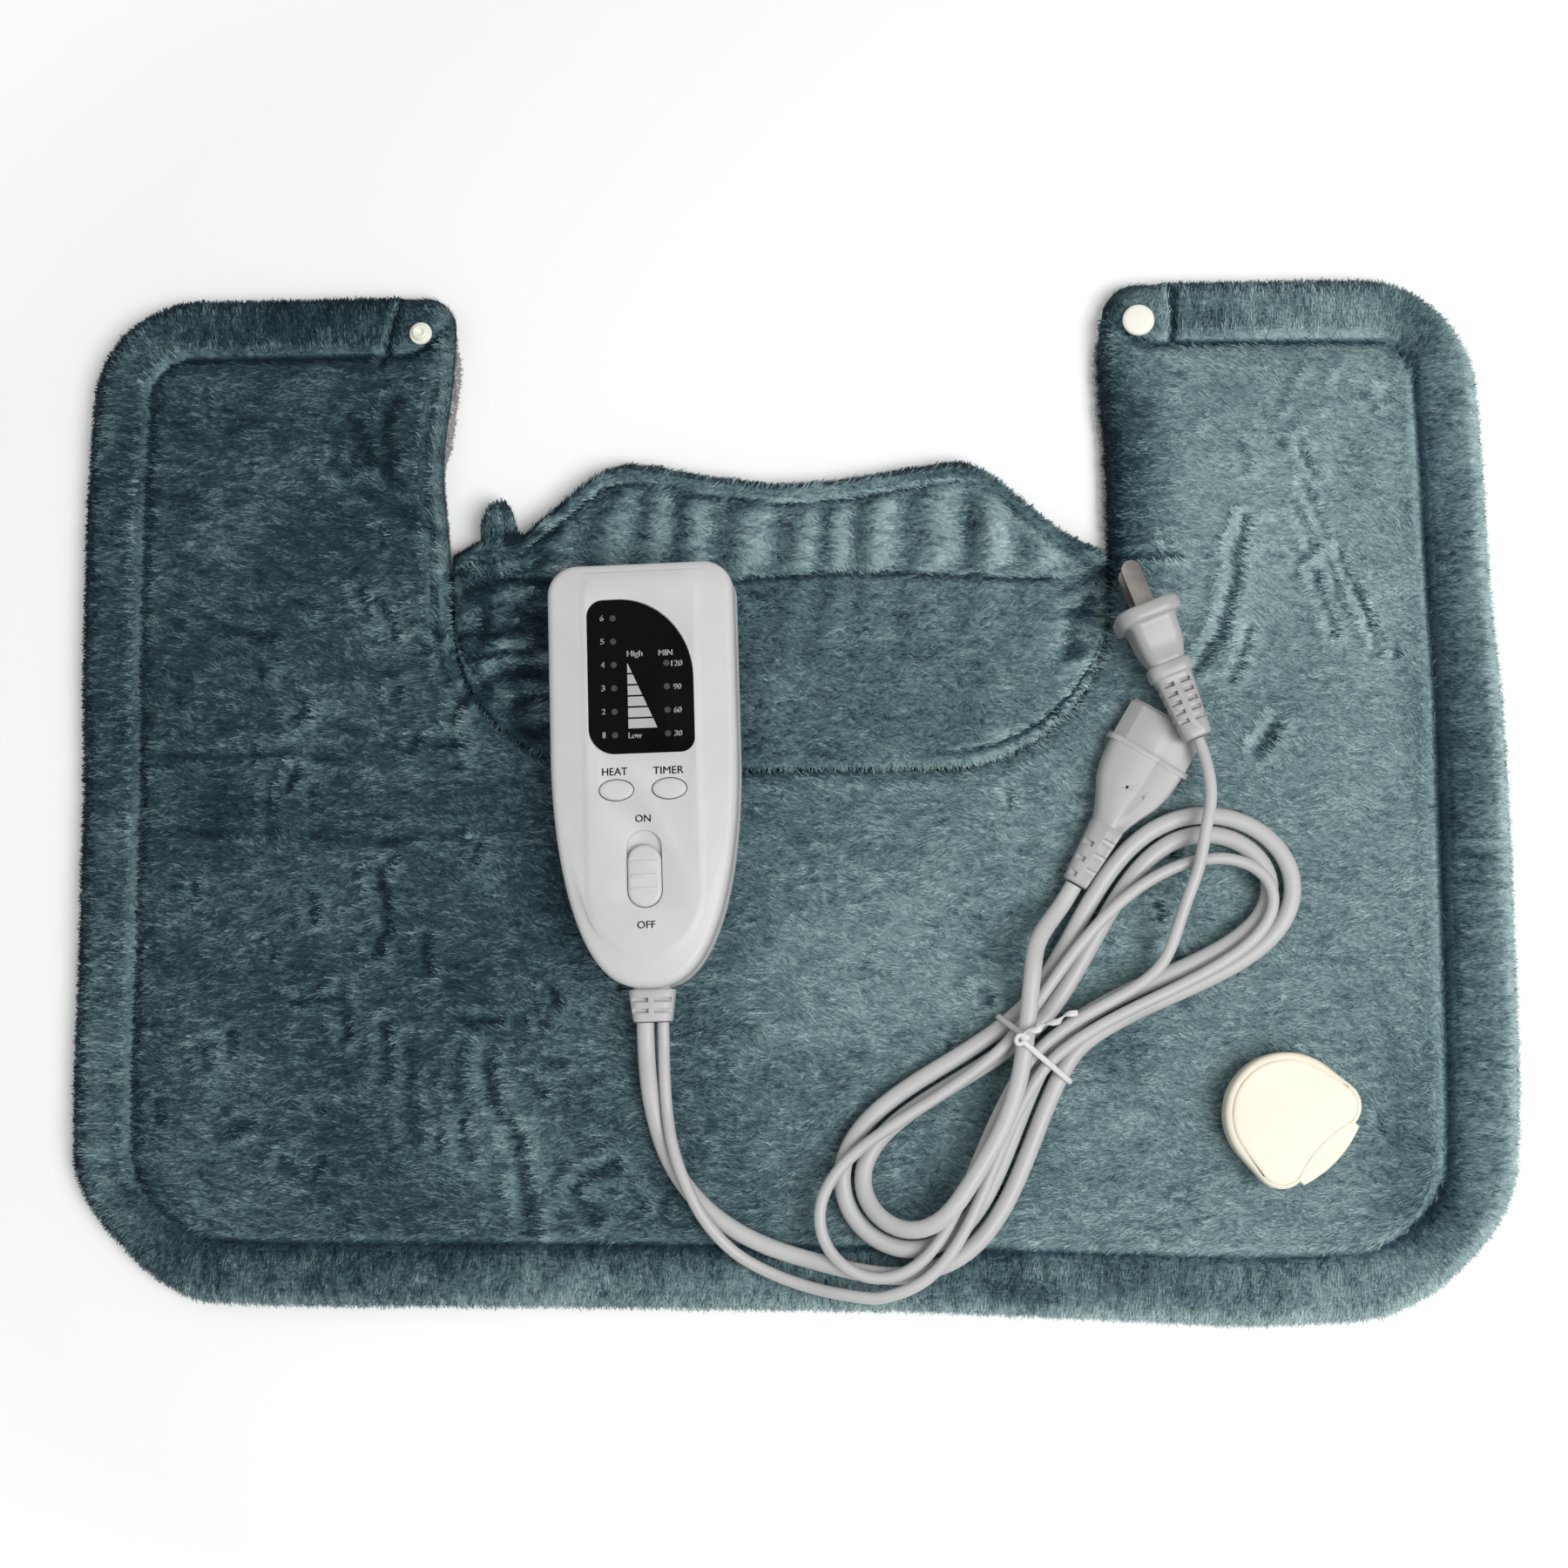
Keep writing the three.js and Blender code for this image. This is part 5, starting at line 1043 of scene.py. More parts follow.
def pad_shade(points):
    """Where the pile is painted lighter or darker: painted sheen on slopes and creases, painted shade in the
    creases, the seam channels and along the neck edge, and the patches.
    """
    edge, neck = border_and_neck(points)
    seam = hump((edge - CHANNEL) / 1.2)
    for line in CROSS_SEAMS:
        seam = np.maximum(seam, hump(distance_to(line, points) / 1.3))
    # Painted shade in the creases.
    fold = np.clip(-0.13 * crease_depth(points), -0.2, 0.1)
    most = np.interp(points[:, 0], (-60, 120), (0.1, 0.2))
    # Painted sheen on the slopes, stronger on the creases, its light side held lower to the left.
    light = 1.1 * sheen(smooth_height, points) + np.clip(1.9 * sheen(crease_height, points), -0.3, most)
    # Painted shade in the seam channels and along the neck edge.
    return fold + light + patches(points, PATCHES) - 0.2 * seam - 0.08 * hump(neck / 1.8)


def towards(line, points):
    """Distance to a line of the right half or its mirror image, and the direction to it."""
    step = 0.5
    there = fold_over(points)
    away = distance_to(line, there)
    right = distance_to(line, there + (step, 0)) - away
    ahead = distance_to(line, there + (0, step)) - away
    return away, -np.stack([right * np.sign(points[:, 0] + 1e-9), ahead], axis=1) / step


def pad_nap(points):
    """Direction in which the pile lies: across the border on the band, over the joint, sideways elsewhere."""
    x, y = points.T
    edge, out = towards(BORDER, points)
    out /= np.maximum(np.linalg.norm(out, axis=1), 1e-6)[:, None]
    angle = math.pi + 0.35 * ripple(x, y, 30, 6) + 0.6 * ripple(x, y, 8, 7) - 0.12
    flow = np.stack([np.cos(angle), np.sin(angle)], axis=1)
    flow = blend(flow, out, smooth((24 - edge) / 5)[:, None])
    neck, over = towards(NECK, points)
    return blend(flow, over, (smooth((3.5 - neck) / 2.5) * smooth((76 - y) / 8))[:, None])


def grow_pile(name, source, count, nap, shade, length, width, lean, low, side_of=0):
    """Short pile: flat blades that lean along the nap, on the whole piece or on one side of it."""
    mesh = source.data
    mesh.calc_loop_triangles()
    index = np.empty(len(mesh.loop_triangles) * 3, np.int32)
    mesh.loop_triangles.foreach_get("vertices", index)
    index = index.reshape(-1, 3)
    points = coords(mesh) / MM
    normals = coords(mesh, "normal")
    a, b, c = (points[index[:, k]] for k in range(3))
    across = np.cross(b - a, c - a)
    middle = (a + b + c) / 3
    area = np.linalg.norm(across, axis=1) / 2
    area = area * (across[:, 2] > -0.3 * area) * (middle[:, 2] > low)
    if side_of:
        area = area * (middle[:, 0] * side_of > 0)
    chosen = rng.choice(len(index), count, p=area / area.sum())
    r1, r2 = np.sqrt(rng.random(count)), rng.random(count)
    weights = np.stack([1 - r1, r1 * (1 - r2), r1 * r2], axis=1)
    root = np.einsum("nk,nkd->nd", weights, points[index[chosen]])
    normal = np.einsum("nk,nkd->nd", weights, normals[index[chosen]])
    normal /= np.linalg.norm(normal, axis=1)[:, None]
    flat = nap(root[:, :2])
    turn = rng.normal(0, 0.2, count)
    c, s = np.cos(turn), np.sin(turn)
    lie = np.stack([flat[:, 0] * c - flat[:, 1] * s, flat[:, 0] * s + flat[:, 1] * c, 0 * c], axis=1)
    lie -= normal * np.einsum("nd,nd->n", lie, normal)[:, None]
    lie /= np.maximum(np.linalg.norm(lie, axis=1), 1e-6)[:, None]
    tilt = np.radians(np.clip(rng.normal(lean, 7, count), 8, 60))[:, None]
    along = lie * np.cos(tilt) + normal * np.sin(tilt)
    side = np.cross(normal, lie)
    long = (length * rng.uniform(0.7, 1.25, count))[:, None]
    half = (width / 2 * rng.uniform(0.7, 1.3, count))[:, None]
    root = root - normal * 0.2
    x, y = root[:, 0], root[:, 1]
    wave = 0.9 * ripple(x, y, 6, 34)
    lying = 1.2 * ripple(0.22 * x, y + wave, 0.9, 30) + 0.4 * ripple(0.3 * x, y + wave, 2.1, 35)
    upright = 1.2 * ripple(x + wave, 0.22 * y, 0.9, 36) + 0.4 * ripple(x + wave, 0.3 * y, 2.1, 37)
    clump = lying * flat[:, 0] ** 2 + upright * flat[:, 1] ** 2
    tone = np.clip(rng.normal(0, 0.22, count) + clump, -1.3, 1.3) * np.interp(x, (-100, 150), (1, 0.8))
    return blade_mesh(name, root, along * long, side * half, tone, shade(root[:, :2]), plush_pile, "plush")


def blade_mesh(name, root, reach, side, tone, shade, material, slot):
    """One mesh of flat blades that narrow towards their tips."""
    count = len(root)
    tip = root + reach
    blades = np.stack([root - side, root + side, tip + side * 0.4, tip - side * 0.4], axis=1)
    pile = bpy.data.meshes.new(name)
    pile.vertices.add(count * 4)
    pile.vertices.foreach_set("co", (blades * MM).astype(np.float32).ravel())
    pile.loops.add(count * 4)
    pile.loops.foreach_set("vertex_index", np.arange(count * 4, dtype=np.int32))
    pile.polygons.add(count)
    pile.polygons.foreach_set("loop_start", np.arange(count, dtype=np.int32) * 4)
    pile.update(calc_edges=True)
    add_attribute(pile, "strand", np.repeat(tone, 4))
    # Roots painted darker than tips, as shade deep in the pile.
    add_attribute(pile, "tip", np.tile([-0.9, -0.9, 0.8, 0.8], count))
    add_attribute(pile, "shade", np.repeat(shade, 4))
    obj = new_object(name, pile)
    shade_round(obj)
    return finish_piece(obj, material, "pad", slot)


def drape(obj):
    """Lays a pad piece as it lies in the photo, its edges a little out of true and its corners rounder."""
    points = coords(obj.data) / MM
    x, y = points[:, 0].copy(), points[:, 1].copy()
    low = np.interp(y, (-150, -85, -20, 20, 60), (1.0, 3.0, 2.6, 1.8, 0))
    high = np.interp(y, (30, 70, 110, 150), (0, -1.5, -2.6, -3.9))
    points[:, 0] += low * smooth((x - 203) / 28) + high * smooth((x - 150) / 80)
    left = np.interp(y, (-150, -60, 0, 40, 90, 150), (1.5, 1.7, 1.2, -0.6, -1.3, 0))
    points[:, 0] += left * smooth((-x - 150) / 80)
    points[:, 0] -= 3.4 * hump((y - 110) / 25) * smooth((x + 170) / 55) * (x < 0)
    points[:, 0] -= 2.2 * hump((y - 140) / 22) * smooth((170 - x) / 55) * (x > 0)
    bottom = np.interp(
        x, (-232, -160, -60, 40, 70, 150, 190, 232), (1.5, 1.2, 1.6, 1.3, 0.4, -2.4, -0.6, 0.4)
    )
    points[:, 1] += bottom * smooth((-y - 120) / 45)
    for px, py, pull in ((-218.4, -153.9, 5.8), (218.4, -153.9, 3.6), (222.2, 157.7, 1.6)):
        share = pull * hump(np.hypot(x - px, y - py) / 30) / math.sqrt(2)
        points[:, 0] -= share * math.copysign(1, px)
        points[:, 1] -= share * math.copysign(1, py)
    set_coords(obj.data, points * MM)


def finish_cloth(obj, shade, node_name):
    add_attribute(obj.data, "shade", shade(coords(obj.data)[:, :2] / MM))
    shade_round(obj)
    return finish_piece(obj, plush_cloth, "pad", "plush", node_name)


front = finish_cloth(pad_front(), pad_shade, "pad_front_cover")
for name, side in (("pad_pile_left", -1), ("pad_pile_right", 1)):
    drape(grow_pile(name, front, 97000, pad_nap, pad_shade, 2.9, 0.46, 13, 4.4, side))
drape(front)


def lining_shown(side, y):
    """Share of the lining's strip that shows in the opening, which starts lower on the right."""
    return smooth((y - np.where(side > 0, 78, 108)) / 10) * smooth((154 - y) / 10)


def pad_back():
    """The lining under the pad, a thin sheet that shows a little past the flaps' neck edges."""
    x, y = OUTLINE.T
    ahead = np.roll(OUTLINE, -1, axis=0) - np.roll(OUTLINE, 1, axis=0)
    ahead /= np.linalg.norm(ahead, axis=1)[:, None]
    shown = 2.4 * lining_shown(x, y) * (np.abs(x) < NECK_HALF + 1)
    rings = []
    for inset, z in ((2.4, 0.0), (1.2, 0.5), (0.7, 1.5), (1.0, 2.6), (2.0, 3.0)):
        amount = inset - shown
        rings.append(lift(np.stack([x - ahead[:, 1] * amount, y + ahead[:, 0] * amount], axis=1), z))
    look = (lining_grey, "pad", "lining")
    return rigid("pad_back", rings, placed(0, 0, 0), look, "pad_back_cover", angle=60)


back = pad_back()
drape(back)


def lining_fuzz(count):
    """Short grey pile on the strips of lining that show in the opening."""
    side = np.where(rng.random(count) < 0.5, -1.0, 1.0)
    y = rng.uniform(80, 155, count)
    x = side * (NECK_HALF + 1 - 2.8 * lining_shown(side, y) * rng.random(count))
    root = np.stack([x, y, rng.uniform(2, 3.2, count)], axis=1)
    turn = rng.normal(0, 0.8, count)
    reach = np.stack([-side * np.cos(turn), np.sin(turn), rng.uniform(0.3, 0.9, count)], axis=1)
    reach *= rng.uniform(0.7, 1.6, count)[:, None]
    flat = np.stack([-reach[:, 1], reach[:, 0], np.zeros(count)], axis=1) * 0.16
    tone = rng.normal(0, 0.5, count)
    return blade_mesh("lining_fuzz", root, reach, flat, tone, np.zeros(count), lining_grey, "lining")


drape(lining_fuzz(2600))


# Collar: a gathered panel in the neck opening with a rolled upper edge
COLLAR_HALF = NECK_HALF - 0.4
COLLAR_BEND = NECK_R - 0.4
COLLAR_SEAM_Y = 70
COLLAR_STITCH = 6.4
# Upper edge of the collar, from left to right
COLLAR_TOP = [
    (-109, 79), (-100, 84), (-92, 84), (-84, 86.5), (-75, 94.5), (-67, 101), (-58, 107.5),
    (-51, 109.6), (-40, 108.4), (-25, 105), (0, 101.6), (20, 103), (35, 105), (50, 107.6),
    (58, 108.6), (65, 107.4), (72, 103), (80, 95.8), (90, 87.5), (100, 81), (109, 77),
]
# Folds in the ends of the collar, raised ones painted lighter and sunk ones darker as painted light and
# shade: centre, reach both ways, amount
COLLAR_FOLDS = [
    (-91.8, 62.4, 4.4, 9.4, 0.16), (-98.6, 52.2, 2.5, 12.8, -0.16), (-80.1, 59.3, 3.1, 11.1, -0.15),
    (-83.3, 40.4, 5.6, 5, -0.1), (100, 60.3, 1.9, 5, -0.14), (94.8, 46.6, 2.8, 2.2, -0.1),
    (85.1, 60.5, 2.8, 3.9, -0.1), (91.2, 53.2, 3.3, 5, 0.1), (97.9, 49.4, 2.2, 3.3, 0.12),
    (61.6, 86.8, 3.3, 10, -0.14), (75.2, 86.6, 2.5, 7.2, -0.1), (68.4, 86.7, 2.5, 8.3, 0.08),
    (-104.1, 69.8, 3.9, 5.6, -0.08), (-99.9, 77.1, 2.8, 2.2, 0.08), (-90, 44, 4, 5, 0.08),
    (-76, 30, 8, 5, -0.06),
]


def collar_edges(x):
    """Lower and upper edge of the collar at a place across it."""
    past = np.maximum(np.abs(x) - (COLLAR_HALF - COLLAR_BEND), 0)
    low = NECK_BOTTOM + 0.4 + COLLAR_BEND - np.sqrt(np.maximum(COLLAR_BEND**2 - past**2, 0))
    return low, np.interp(x, *np.transpose(COLLAR_TOP))


def pleats(x, y):
    """Gathers that hang from the seam, one every 16 mm or so, from -1 to 1."""
    drift = 0.3 * ripple(x, 0 * y, 34, 8) + 0.25 * ripple(x, y, 26, 18)
    return np.sin(2 * math.pi * (x / 16 + drift - 0.006 * (y - 70)))


def collar_zones(x, y):
    """Distance from the lower and the upper edge, and shares of seam, gathers and crumpled ends."""
    low, high = collar_edges(x)
    up = y - low
    down = (high - y) * 0.88
    seam = hump((y - COLLAR_SEAM_Y - 2 * ripple(x, 0 * y, 60, 19)) / 1.2) * smooth((100 - np.abs(x)) / 10)
    above = smooth((y - COLLAR_SEAM_Y) / 5) * smooth((down - 6) / 6)
    below = 0.4 * smooth((COLLAR_SEAM_Y - y) / 5) * smooth((y - 32) / 30) * smooth((x + 20) / 40)
    crumple = (smooth((-62 - x) / 16) + 0.6 * smooth((x - 84) / 14)) * smooth(up / 5)
    return up, down, seam, above + below, crumple


def collar_height(points):
    x, y = points.T
    up, down, seam, gathered, crumple = collar_zones(x, y)
    edge = np.interp(up, (0, 1, 3, 6, 10), (10.4, 11.0, 11.5, 11.7, 11.8))
    roll = np.interp(
        down, (0, 1, 2.4, 4, 5.4, COLLAR_STITCH, 7.4, 10), (6, 9, 11.8, 12.4, 11.6, 10, 11, 11.8)
    )
    z = np.minimum(edge, roll) - 1.5 * seam
    z = z + gathered * (1.0 + 0.5 * ripple(x, 0 * y, 50, 11)) * pleats(x, y)
    piping = hump((up - 2.4) / 1.6) - 1.2 * hump((up - 5.6) / 1.2)
    z = z + 0.7 * piping * smooth((np.abs(x) - 30) / 40)
    folds = np.sin(2 * math.pi * (y - 0.3 * x + 5 * ripple(x, y, 14, 9)) / 11) * smooth((up - 7) / 4)
    z = z + crumple * (0.8 * folds + 0.8 * ripple(x, y, 6, 16) - 0.8) + 7 * patches(points, COLLAR_FOLDS)
    return z + 0.4 * ripple(x, y, 12, 10)


def collar_tip():
    """The tucked-in end at the collar's upper left."""
    tip = new_shape(bpy.ops.mesh.primitive_uv_sphere_add, segments=28, ring_count=18, radius=1)
    points = coords(tip.data)
    points = np.sign(points) * np.abs(points) ** 0.8 * (6.4, 14.0, 4.8)
    points[:, 0] *= 1 - 0.014 * points[:, 1]
    points[:, 0] += 0.01 * points[:, 1] ** 2 + 1.2 * ripple(points[:, 0], points[:, 1], 6, 12)
    points[:, 2] += 0.8 * ripple(points[:, 0], points[:, 1], 5, 13)
    set_coords(tip.data, points)
    tip.data.transform(placed(-92, 82.5, 8.2, 6))
    return tip


def collar_piece():
    side_z = 6.2
    obj = new_shape(bpy.ops.mesh.primitive_grid_add, x_subdivisions=150, y_subdivisions=62, size=2)
    obj.name = obj.data.name = "collar_cloth"
    edit(raise_faces)
    points = coords(obj.data)
    x = points[:, 0] * COLLAR_HALF
    low, high = collar_edges(x)
    y = low + (high - low) * (points[:, 1] + 1) / 2
    ends = np.sqrt(1 - np.clip((np.abs(x) / COLLAR_HALF - 0.94) / 0.06, 0, 1))
    top = side_z + (collar_height(np.stack([x, y], axis=1)) - side_z) * ends
    z = np.where(points[:, 2] > 0.5, top, 1.2)
    set_coords(obj.data, np.stack([x, y, z], axis=1) * MM)
    only(obj, collar_tip())
    bpy.ops.object.join()
    edit(face_out)
    remesh(obj, 1.5)
    return obj


def collar_shade(points):
    x, y = points.T
    up, down, seam, _, crumple = collar_zones(x, y)
    stitch = hump((down - COLLAR_STITCH) / 1.2)
    edge = hump(up / 1.6) * smooth((np.abs(x) - 50) / 40)
    # Painted shade in the seam and stitch grooves and along the lower edge.
    tone = -0.16 * seam - 0.18 * stitch - 0.08 * edge - 0.03 * crumple - 0.05 * smooth((-x - 60) / 30)
    right = smooth((x - 30) / 25)
    tone = tone + 0.14 * smooth((y - COLLAR_SEAM_Y) / 5)
    tone = tone - 0.2 * smooth((6 - down) / 1.5) * right + 0.06 * hump((down - 8.5) / 1.4) * right
    tufts = ripple(0.45 * x + 0.1 * y, y - 0.2 * x, 2.6, 38) + 0.6 * ripple(0.5 * x, y, 5, 39)
    tone = tone + 0.2 * crumple * tufts
    # Painted sheen on the slopes, and painted light and shade on the folds.
    return tone + 1.15 * sheen(collar_height, points) + patches(points, COLLAR_FOLDS) - 0.02


def collar_nap(points):
    x, y = points.T
    low, high = collar_edges(x)
    angle = 0.4 * ripple(x, y, 22, 14) + 0.6 * ripple(x, y, 8, 15) - 0.15
    angle = angle + smooth((6 - (high - y)) / 4) * 1.3
    flow = np.stack([np.cos(angle), np.sin(angle)], axis=1)
    slope = (collar_edges(x + 0.5)[0] - low) / 0.5
    over = np.stack([slope, -np.ones_like(slope)], axis=1) / np.hypot(slope, 1)[:, None]
    return blend(flow, over, smooth((3.5 - (y - low)) / 2.5)[:, None])


collar = finish_cloth(collar_piece(), collar_shade, "collar")
grow_pile("collar_pile", collar, 30000, collar_nap, collar_shade, 2.6, 0.55, 16, 4.0)


# Snap fasteners, each a turned profile of radius and height
SNAP_X, SNAP_Y = 119.2, 153.3
for name, x, profile, node_name in (
    (
        "snap_cap", SNAP_X,
        [
            (1.5, 3), (1.5, 13.5), (4.9, 13.5), (5.2, 13.8), (5.2, 14.3), (5.0, 14.8), (4.5, 15.15),
            (3.6, 15.3), (2.4, 15.4), (1.2, 15.42),
        ],
        "snap_cap_right",
    ),
    (
        "snap_stud", -SNAP_X,
        [
            (3.2, 13.2), (3.7, 13.5), (3.75, 14.2), (3.5, 14.5), (2.7, 14.6), (2.4, 14.9), (2.4, 15.2),
            (2.7, 15.7), (2.5, 16.1), (1.9, 16.4), (1.5, 16.3), (1.2, 15.6), (0.9, 15.4),
        ],
        "snap_stud_left",
    ),
):
    rigid(name, [round_ring(r, z) for r, z in profile], placed(x, SNAP_Y, 0), SNAP, node_name)


# Pad socket
def heart_ring(inset, push, z, rear_r=19.5, lobe_r=8.1):
    """Outline of the socket, mouth towards +X, with its front pushed out or drawn in."""
    rear_x, lobe_x, lobe_y = -0.6, 7.6, 12.2
    gap = lobe_x - rear_x
    lean = math.atan2(lobe_y, gap)
    angle = math.degrees(lean + math.acos((rear_r - lobe_r) / math.hypot(gap, lobe_y)))
    lobe, rear = lobe_r - inset, rear_r - inset
    front = [(lobe_x + lobe + push * (1 - s * s), lobe_y * s) for s in np.linspace(-1, 1, 21)[1:-1]]
    return lift(
        [
            *front,
            *arc(lobe_x, lobe_y, lobe, lobe, 0, angle, 14),
            *arc(rear_x, 0, rear, rear, angle, 360 - angle, 30),
            *arc(lobe_x, -lobe_y, lobe, lobe, -angle, 0, 14),
        ],
        z,
    )


def plate_ring(inset, z):
    return heart_ring(inset, -1.9, z, 17.2, 6.8)


def lip_ring(inset, z):
    """Outline of the lip over the mouth."""
    half = 12.5 - inset
    front = [(17.1 - inset + 2.2 * (1 - s * s), half * s) for s in np.linspace(-1, 1, 17)]
    return lift([(9.0, -half), *front, (9.0, half)], z)


def socket_pieces():
    matrix = placed(161, -105, REST_Z, -43.7)
    tray = ((0.8, 0), (0.2, 0.3), (0, 0.9), (0, 8.0), (0.2, 8.2))
    rigid(
        "socket_tray", [heart_ring(inset, 3.4, z) for inset, z in tray], matrix, CREAM, "socket_base",
        cuts=[cutter_boxes([(1.5, 30, -13.4, 13.4, 1.4, 12)], matrix)], edge=0.25, angle=35,
    )
    rim = (
        (0.3, 0.6, 8.5), (0, 0.6, 8.8), (0, 0.6, 9.8), (0.25, 0.4, 10.5), (0.8, 0.2, 11.0), (1.3, 0, 11.2),
    )
    plate = ((-0.25, 11.25), (-0.15, 10.9), (0.05, 10.9), (0.15, 11.45), (0.5, 11.65), (1.2, 11.7))
    cover = [heart_ring(*row) for row in rim] + [plate_ring(*row) for row in plate]
    rigid("socket_cover", cover, matrix, CREAM, "socket_lid")
    lip = ((0.2, 8.5), (0, 8.7), (0, 10.5), (0.3, 10.8))
    rigid("socket_lip", [lip_ring(*row) for row in lip], matrix, CREAM)


socket_pieces()


# Controller
CTRL = placed(*CTRL_AT, REST_Z, CTRL_TURN)
CTRL_LOW_L = 74.4
GLAND_ROOM = (-6.3, 6.3, -80, -60, 7, 15)
BUTTON_W, BUTTON_L, BUTTON_X, BUTTON_Y = 10.8, 6.5, 8.4, -5.45
SLOT_Y, SLIDER_Y, RIB_PITCH = -30.6, -32.8, 4.2


def upper_corners(x, y, r):
    return [*arc(x - r, y - r, r, r, 0, 90, 12), *arc(r - x, y - r, r, r, 90, 180, 12)]


def controller_ring(inset, z):
    """Outline of the controller: round upper corners, sides drawn in to a full round lower end."""
    x, y = CTRL_W / 2 - inset, CTRL_L / 2 - inset
    sweep = np.radians(np.linspace(180, 360, 49))
    wide = np.sign(np.cos(sweep)) * np.abs(np.cos(sweep)) ** (2 / 2.6)
    low = np.stack([x * wide, CTRL_LOW_L - CTRL_L / 2 + (CTRL_LOW_L - inset) * np.sin(sweep)], axis=1)
    return lift([*low, *upper_corners(x, y, max(9.5 - inset, 0.8))], z)


def panel_ring(inset, z):
    """Outline of the raised middle panel, straight down the sides and round below."""
    x, y = 18.9 - inset, CTRL_L / 2 - 3.9 - inset
    low = arc(0, 31 - CTRL_L / 2, x, 22 - inset, 180, 360, 48)
    return lift([*low, *upper_corners(x, y, max(6 - inset, 0.8))], z)


def lens_ring(grow, z):
    x, low, high = 16.65 + grow, 6.2 - grow, 55.4 + grow
    return lift(
        [
            *arc(x - 4.5, low + 4.5, 4.5, 4.5, -90, 0, 10),
            *arc(x - 23.5, high - 26, 23.5, 26, 0, 90, 28),
            *arc(-x + 5.2, high - 5.2, 5.2, 5.2, 90, 180, 10),
            *arc(-x + 8.2, low + 8.2, 8.2, 8.2, 180, 270, 12),
        ],
        z,
    )


def button_ring(x, inset, z, steps=44):
    wide, deep = BUTTON_W / 2 - inset, BUTTON_L / 2 - inset
    return round_ring(wide, z, steps, x, BUTTON_Y, deep / wide)


def slider_ring(inset, z):
    return shifted(rounded_ring(10.6 - 2 * inset, 19.5 - 2 * inset, 5.2 - inset, z, 10), SLIDER_Y)


def fillet(ring_at, radius, start_z, steps=5):
    """Rings of a quarter round from a wall up onto a face."""
    angles = np.radians(np.linspace(0, 90, steps + 1))
    return [ring_at(radius * (1 - math.cos(a)), start_z + radius * math.sin(a)) for a in angles]


def controller_pieces():
    wall = ((13.2, 21.6), (5, 20.2), (2.2, 17.4), (2.2, 11.2), (0.3, 11.2), (0, 11.5))
    panel = ((-0.7, 23.35), (0, 23.5), (0.8, 23.85), (1.8, 24))
    top = [
        *(controller_ring(*row) for row in wall),
        *fillet(controller_ring, 2.8, 19.6),
        *(panel_ring(*row) for row in panel),
    ]
    slot = [shifted(rounded_ring(11.1, 24.4, 5.3, z), SLOT_Y) for z in (22.3, 26)]
    wells = [[button_ring(x, -CLEAR, z, 40) for z in (15, 26)] for x in (-BUTTON_X, BUTTON_X)]
    window = [lens_ring(0.22, z) for z in (22.6, 26)]
    cuts = [build_up("cut", rings, CTRL) for rings in (window, slot, *wells)]
    cuts.append(cutter_boxes([GLAND_ROOM], CTRL))
    rigid("controller_top", top, CTRL, WHITE, "controller_front_shell", cuts=cuts, edge=0.25)

    bottom = (
        (7, 0), (3.4, 0.25), (1.4, 1.1), (0.3, 2.6), (0, 4), (0, 10.2), (0.3, 10.6), (2.2, 10.6), (2.2, 5),
        (5, 2.2),
    )
    cuts = [
        build_up("cut", [round_ring(2.6, z, 24, x, y) for z in (-1, 2.7)], CTRL)
        for x, y in ((-21, 58.5), (21, 58.5), (-20, -30), (20, -30))
    ]
    cuts.append(cutter_boxes([GLAND_ROOM], CTRL))
    rings = [controller_ring(*row) for row in bottom]
    rigid("controller_bottom", rings, CTRL, WHITE, "controller_back_shell", cuts=cuts, edge=0.2)

    rings = [lens_ring(*row) for row in ((0, 22.8), (0, 23.9), (-0.08, 24.05), (-0.3, 24.1))]
    rigid("lens", rings, CTRL, (lens_black, "pad", "lens"), "display_lens")

    cap = ((0, 19), (0, 24.3), (0.12, 24.6), (0.45, 24.8), (1.2, 24.88), (2.4, 24.9))
    for name, x in (("heat", -BUTTON_X), ("timer", BUTTON_X)):
        look = (white_plastic, name + "_button", "white_plastic")
        rigid(name + "_cap", [button_ring(x, *row) for row in cap], CTRL, look, name + "_button")

    pill = ((0, 22.45), (0, 24.5), (0.15, 25.0), (0.5, 25.3), (1.1, 25.4))
    knob = build_up("slider_knob", [slider_ring(*row) for row in pill], CTRL)
    for row in (-1, 0, 1):
        y = row * RIB_PITCH + SLIDER_Y
        carve(knob, cutter_boxes([(-4.0, 4.0, y - 0.5, y + 0.5, 24.8, 25.75)], CTRL), operation="UNION")
    soften(knob, 0.2, 40)
    finish_piece(knob, white_plastic, "power_slider", "white_plastic", "power_slider")

    stub = CTRL @ Matrix.Translation((0, -CTRL_L / 2, GLAND_Z)) @ Matrix.Rotation(math.pi / 2, 4, "X")
    sleeve = (
        (12, 7.4, 2.2, -6), (12, 7.4, 2.2, 0.2), (14.6, 8.7, 3.2, 0.3), (15, 9, 3.4, 0.6),
        (12.6, 8.1, 3.2, 9.8), (12.2, 7.7, 3.1, 10.3), (11.4, 7, 2.8, GLAND_L),
    )
    slots = [
        (side * 3.6 - 2.7, side * 3.6 + 2.7, face * 4.4 - 1.9, face * 4.4 + 1.9, z - 0.7, z + 0.7)
        for side in (-1, 1) for face in (-1, 1) for z in (3.6, 7.0)
    ]
    rigid(
        "gland", [rounded_ring(*row) for row in sleeve], stub, JACKET, "cord_gland",
        cuts=[cutter_boxes(slots, stub)], edge=0.25,
    )


controller_pieces()


# Lettering and marks of the controller
FACE_Z, LENS_Z = 24.03, 24.13
CAPITAL = 0.729
LEVELS, STEPS = 6, 4


def strike_twice():
    """A second print a little to the side, which makes the strokes bolder."""
    bpy.ops.mesh.duplicate_move(TRANSFORM_OT_translate={"value": (0.045, 0.02, 0)})


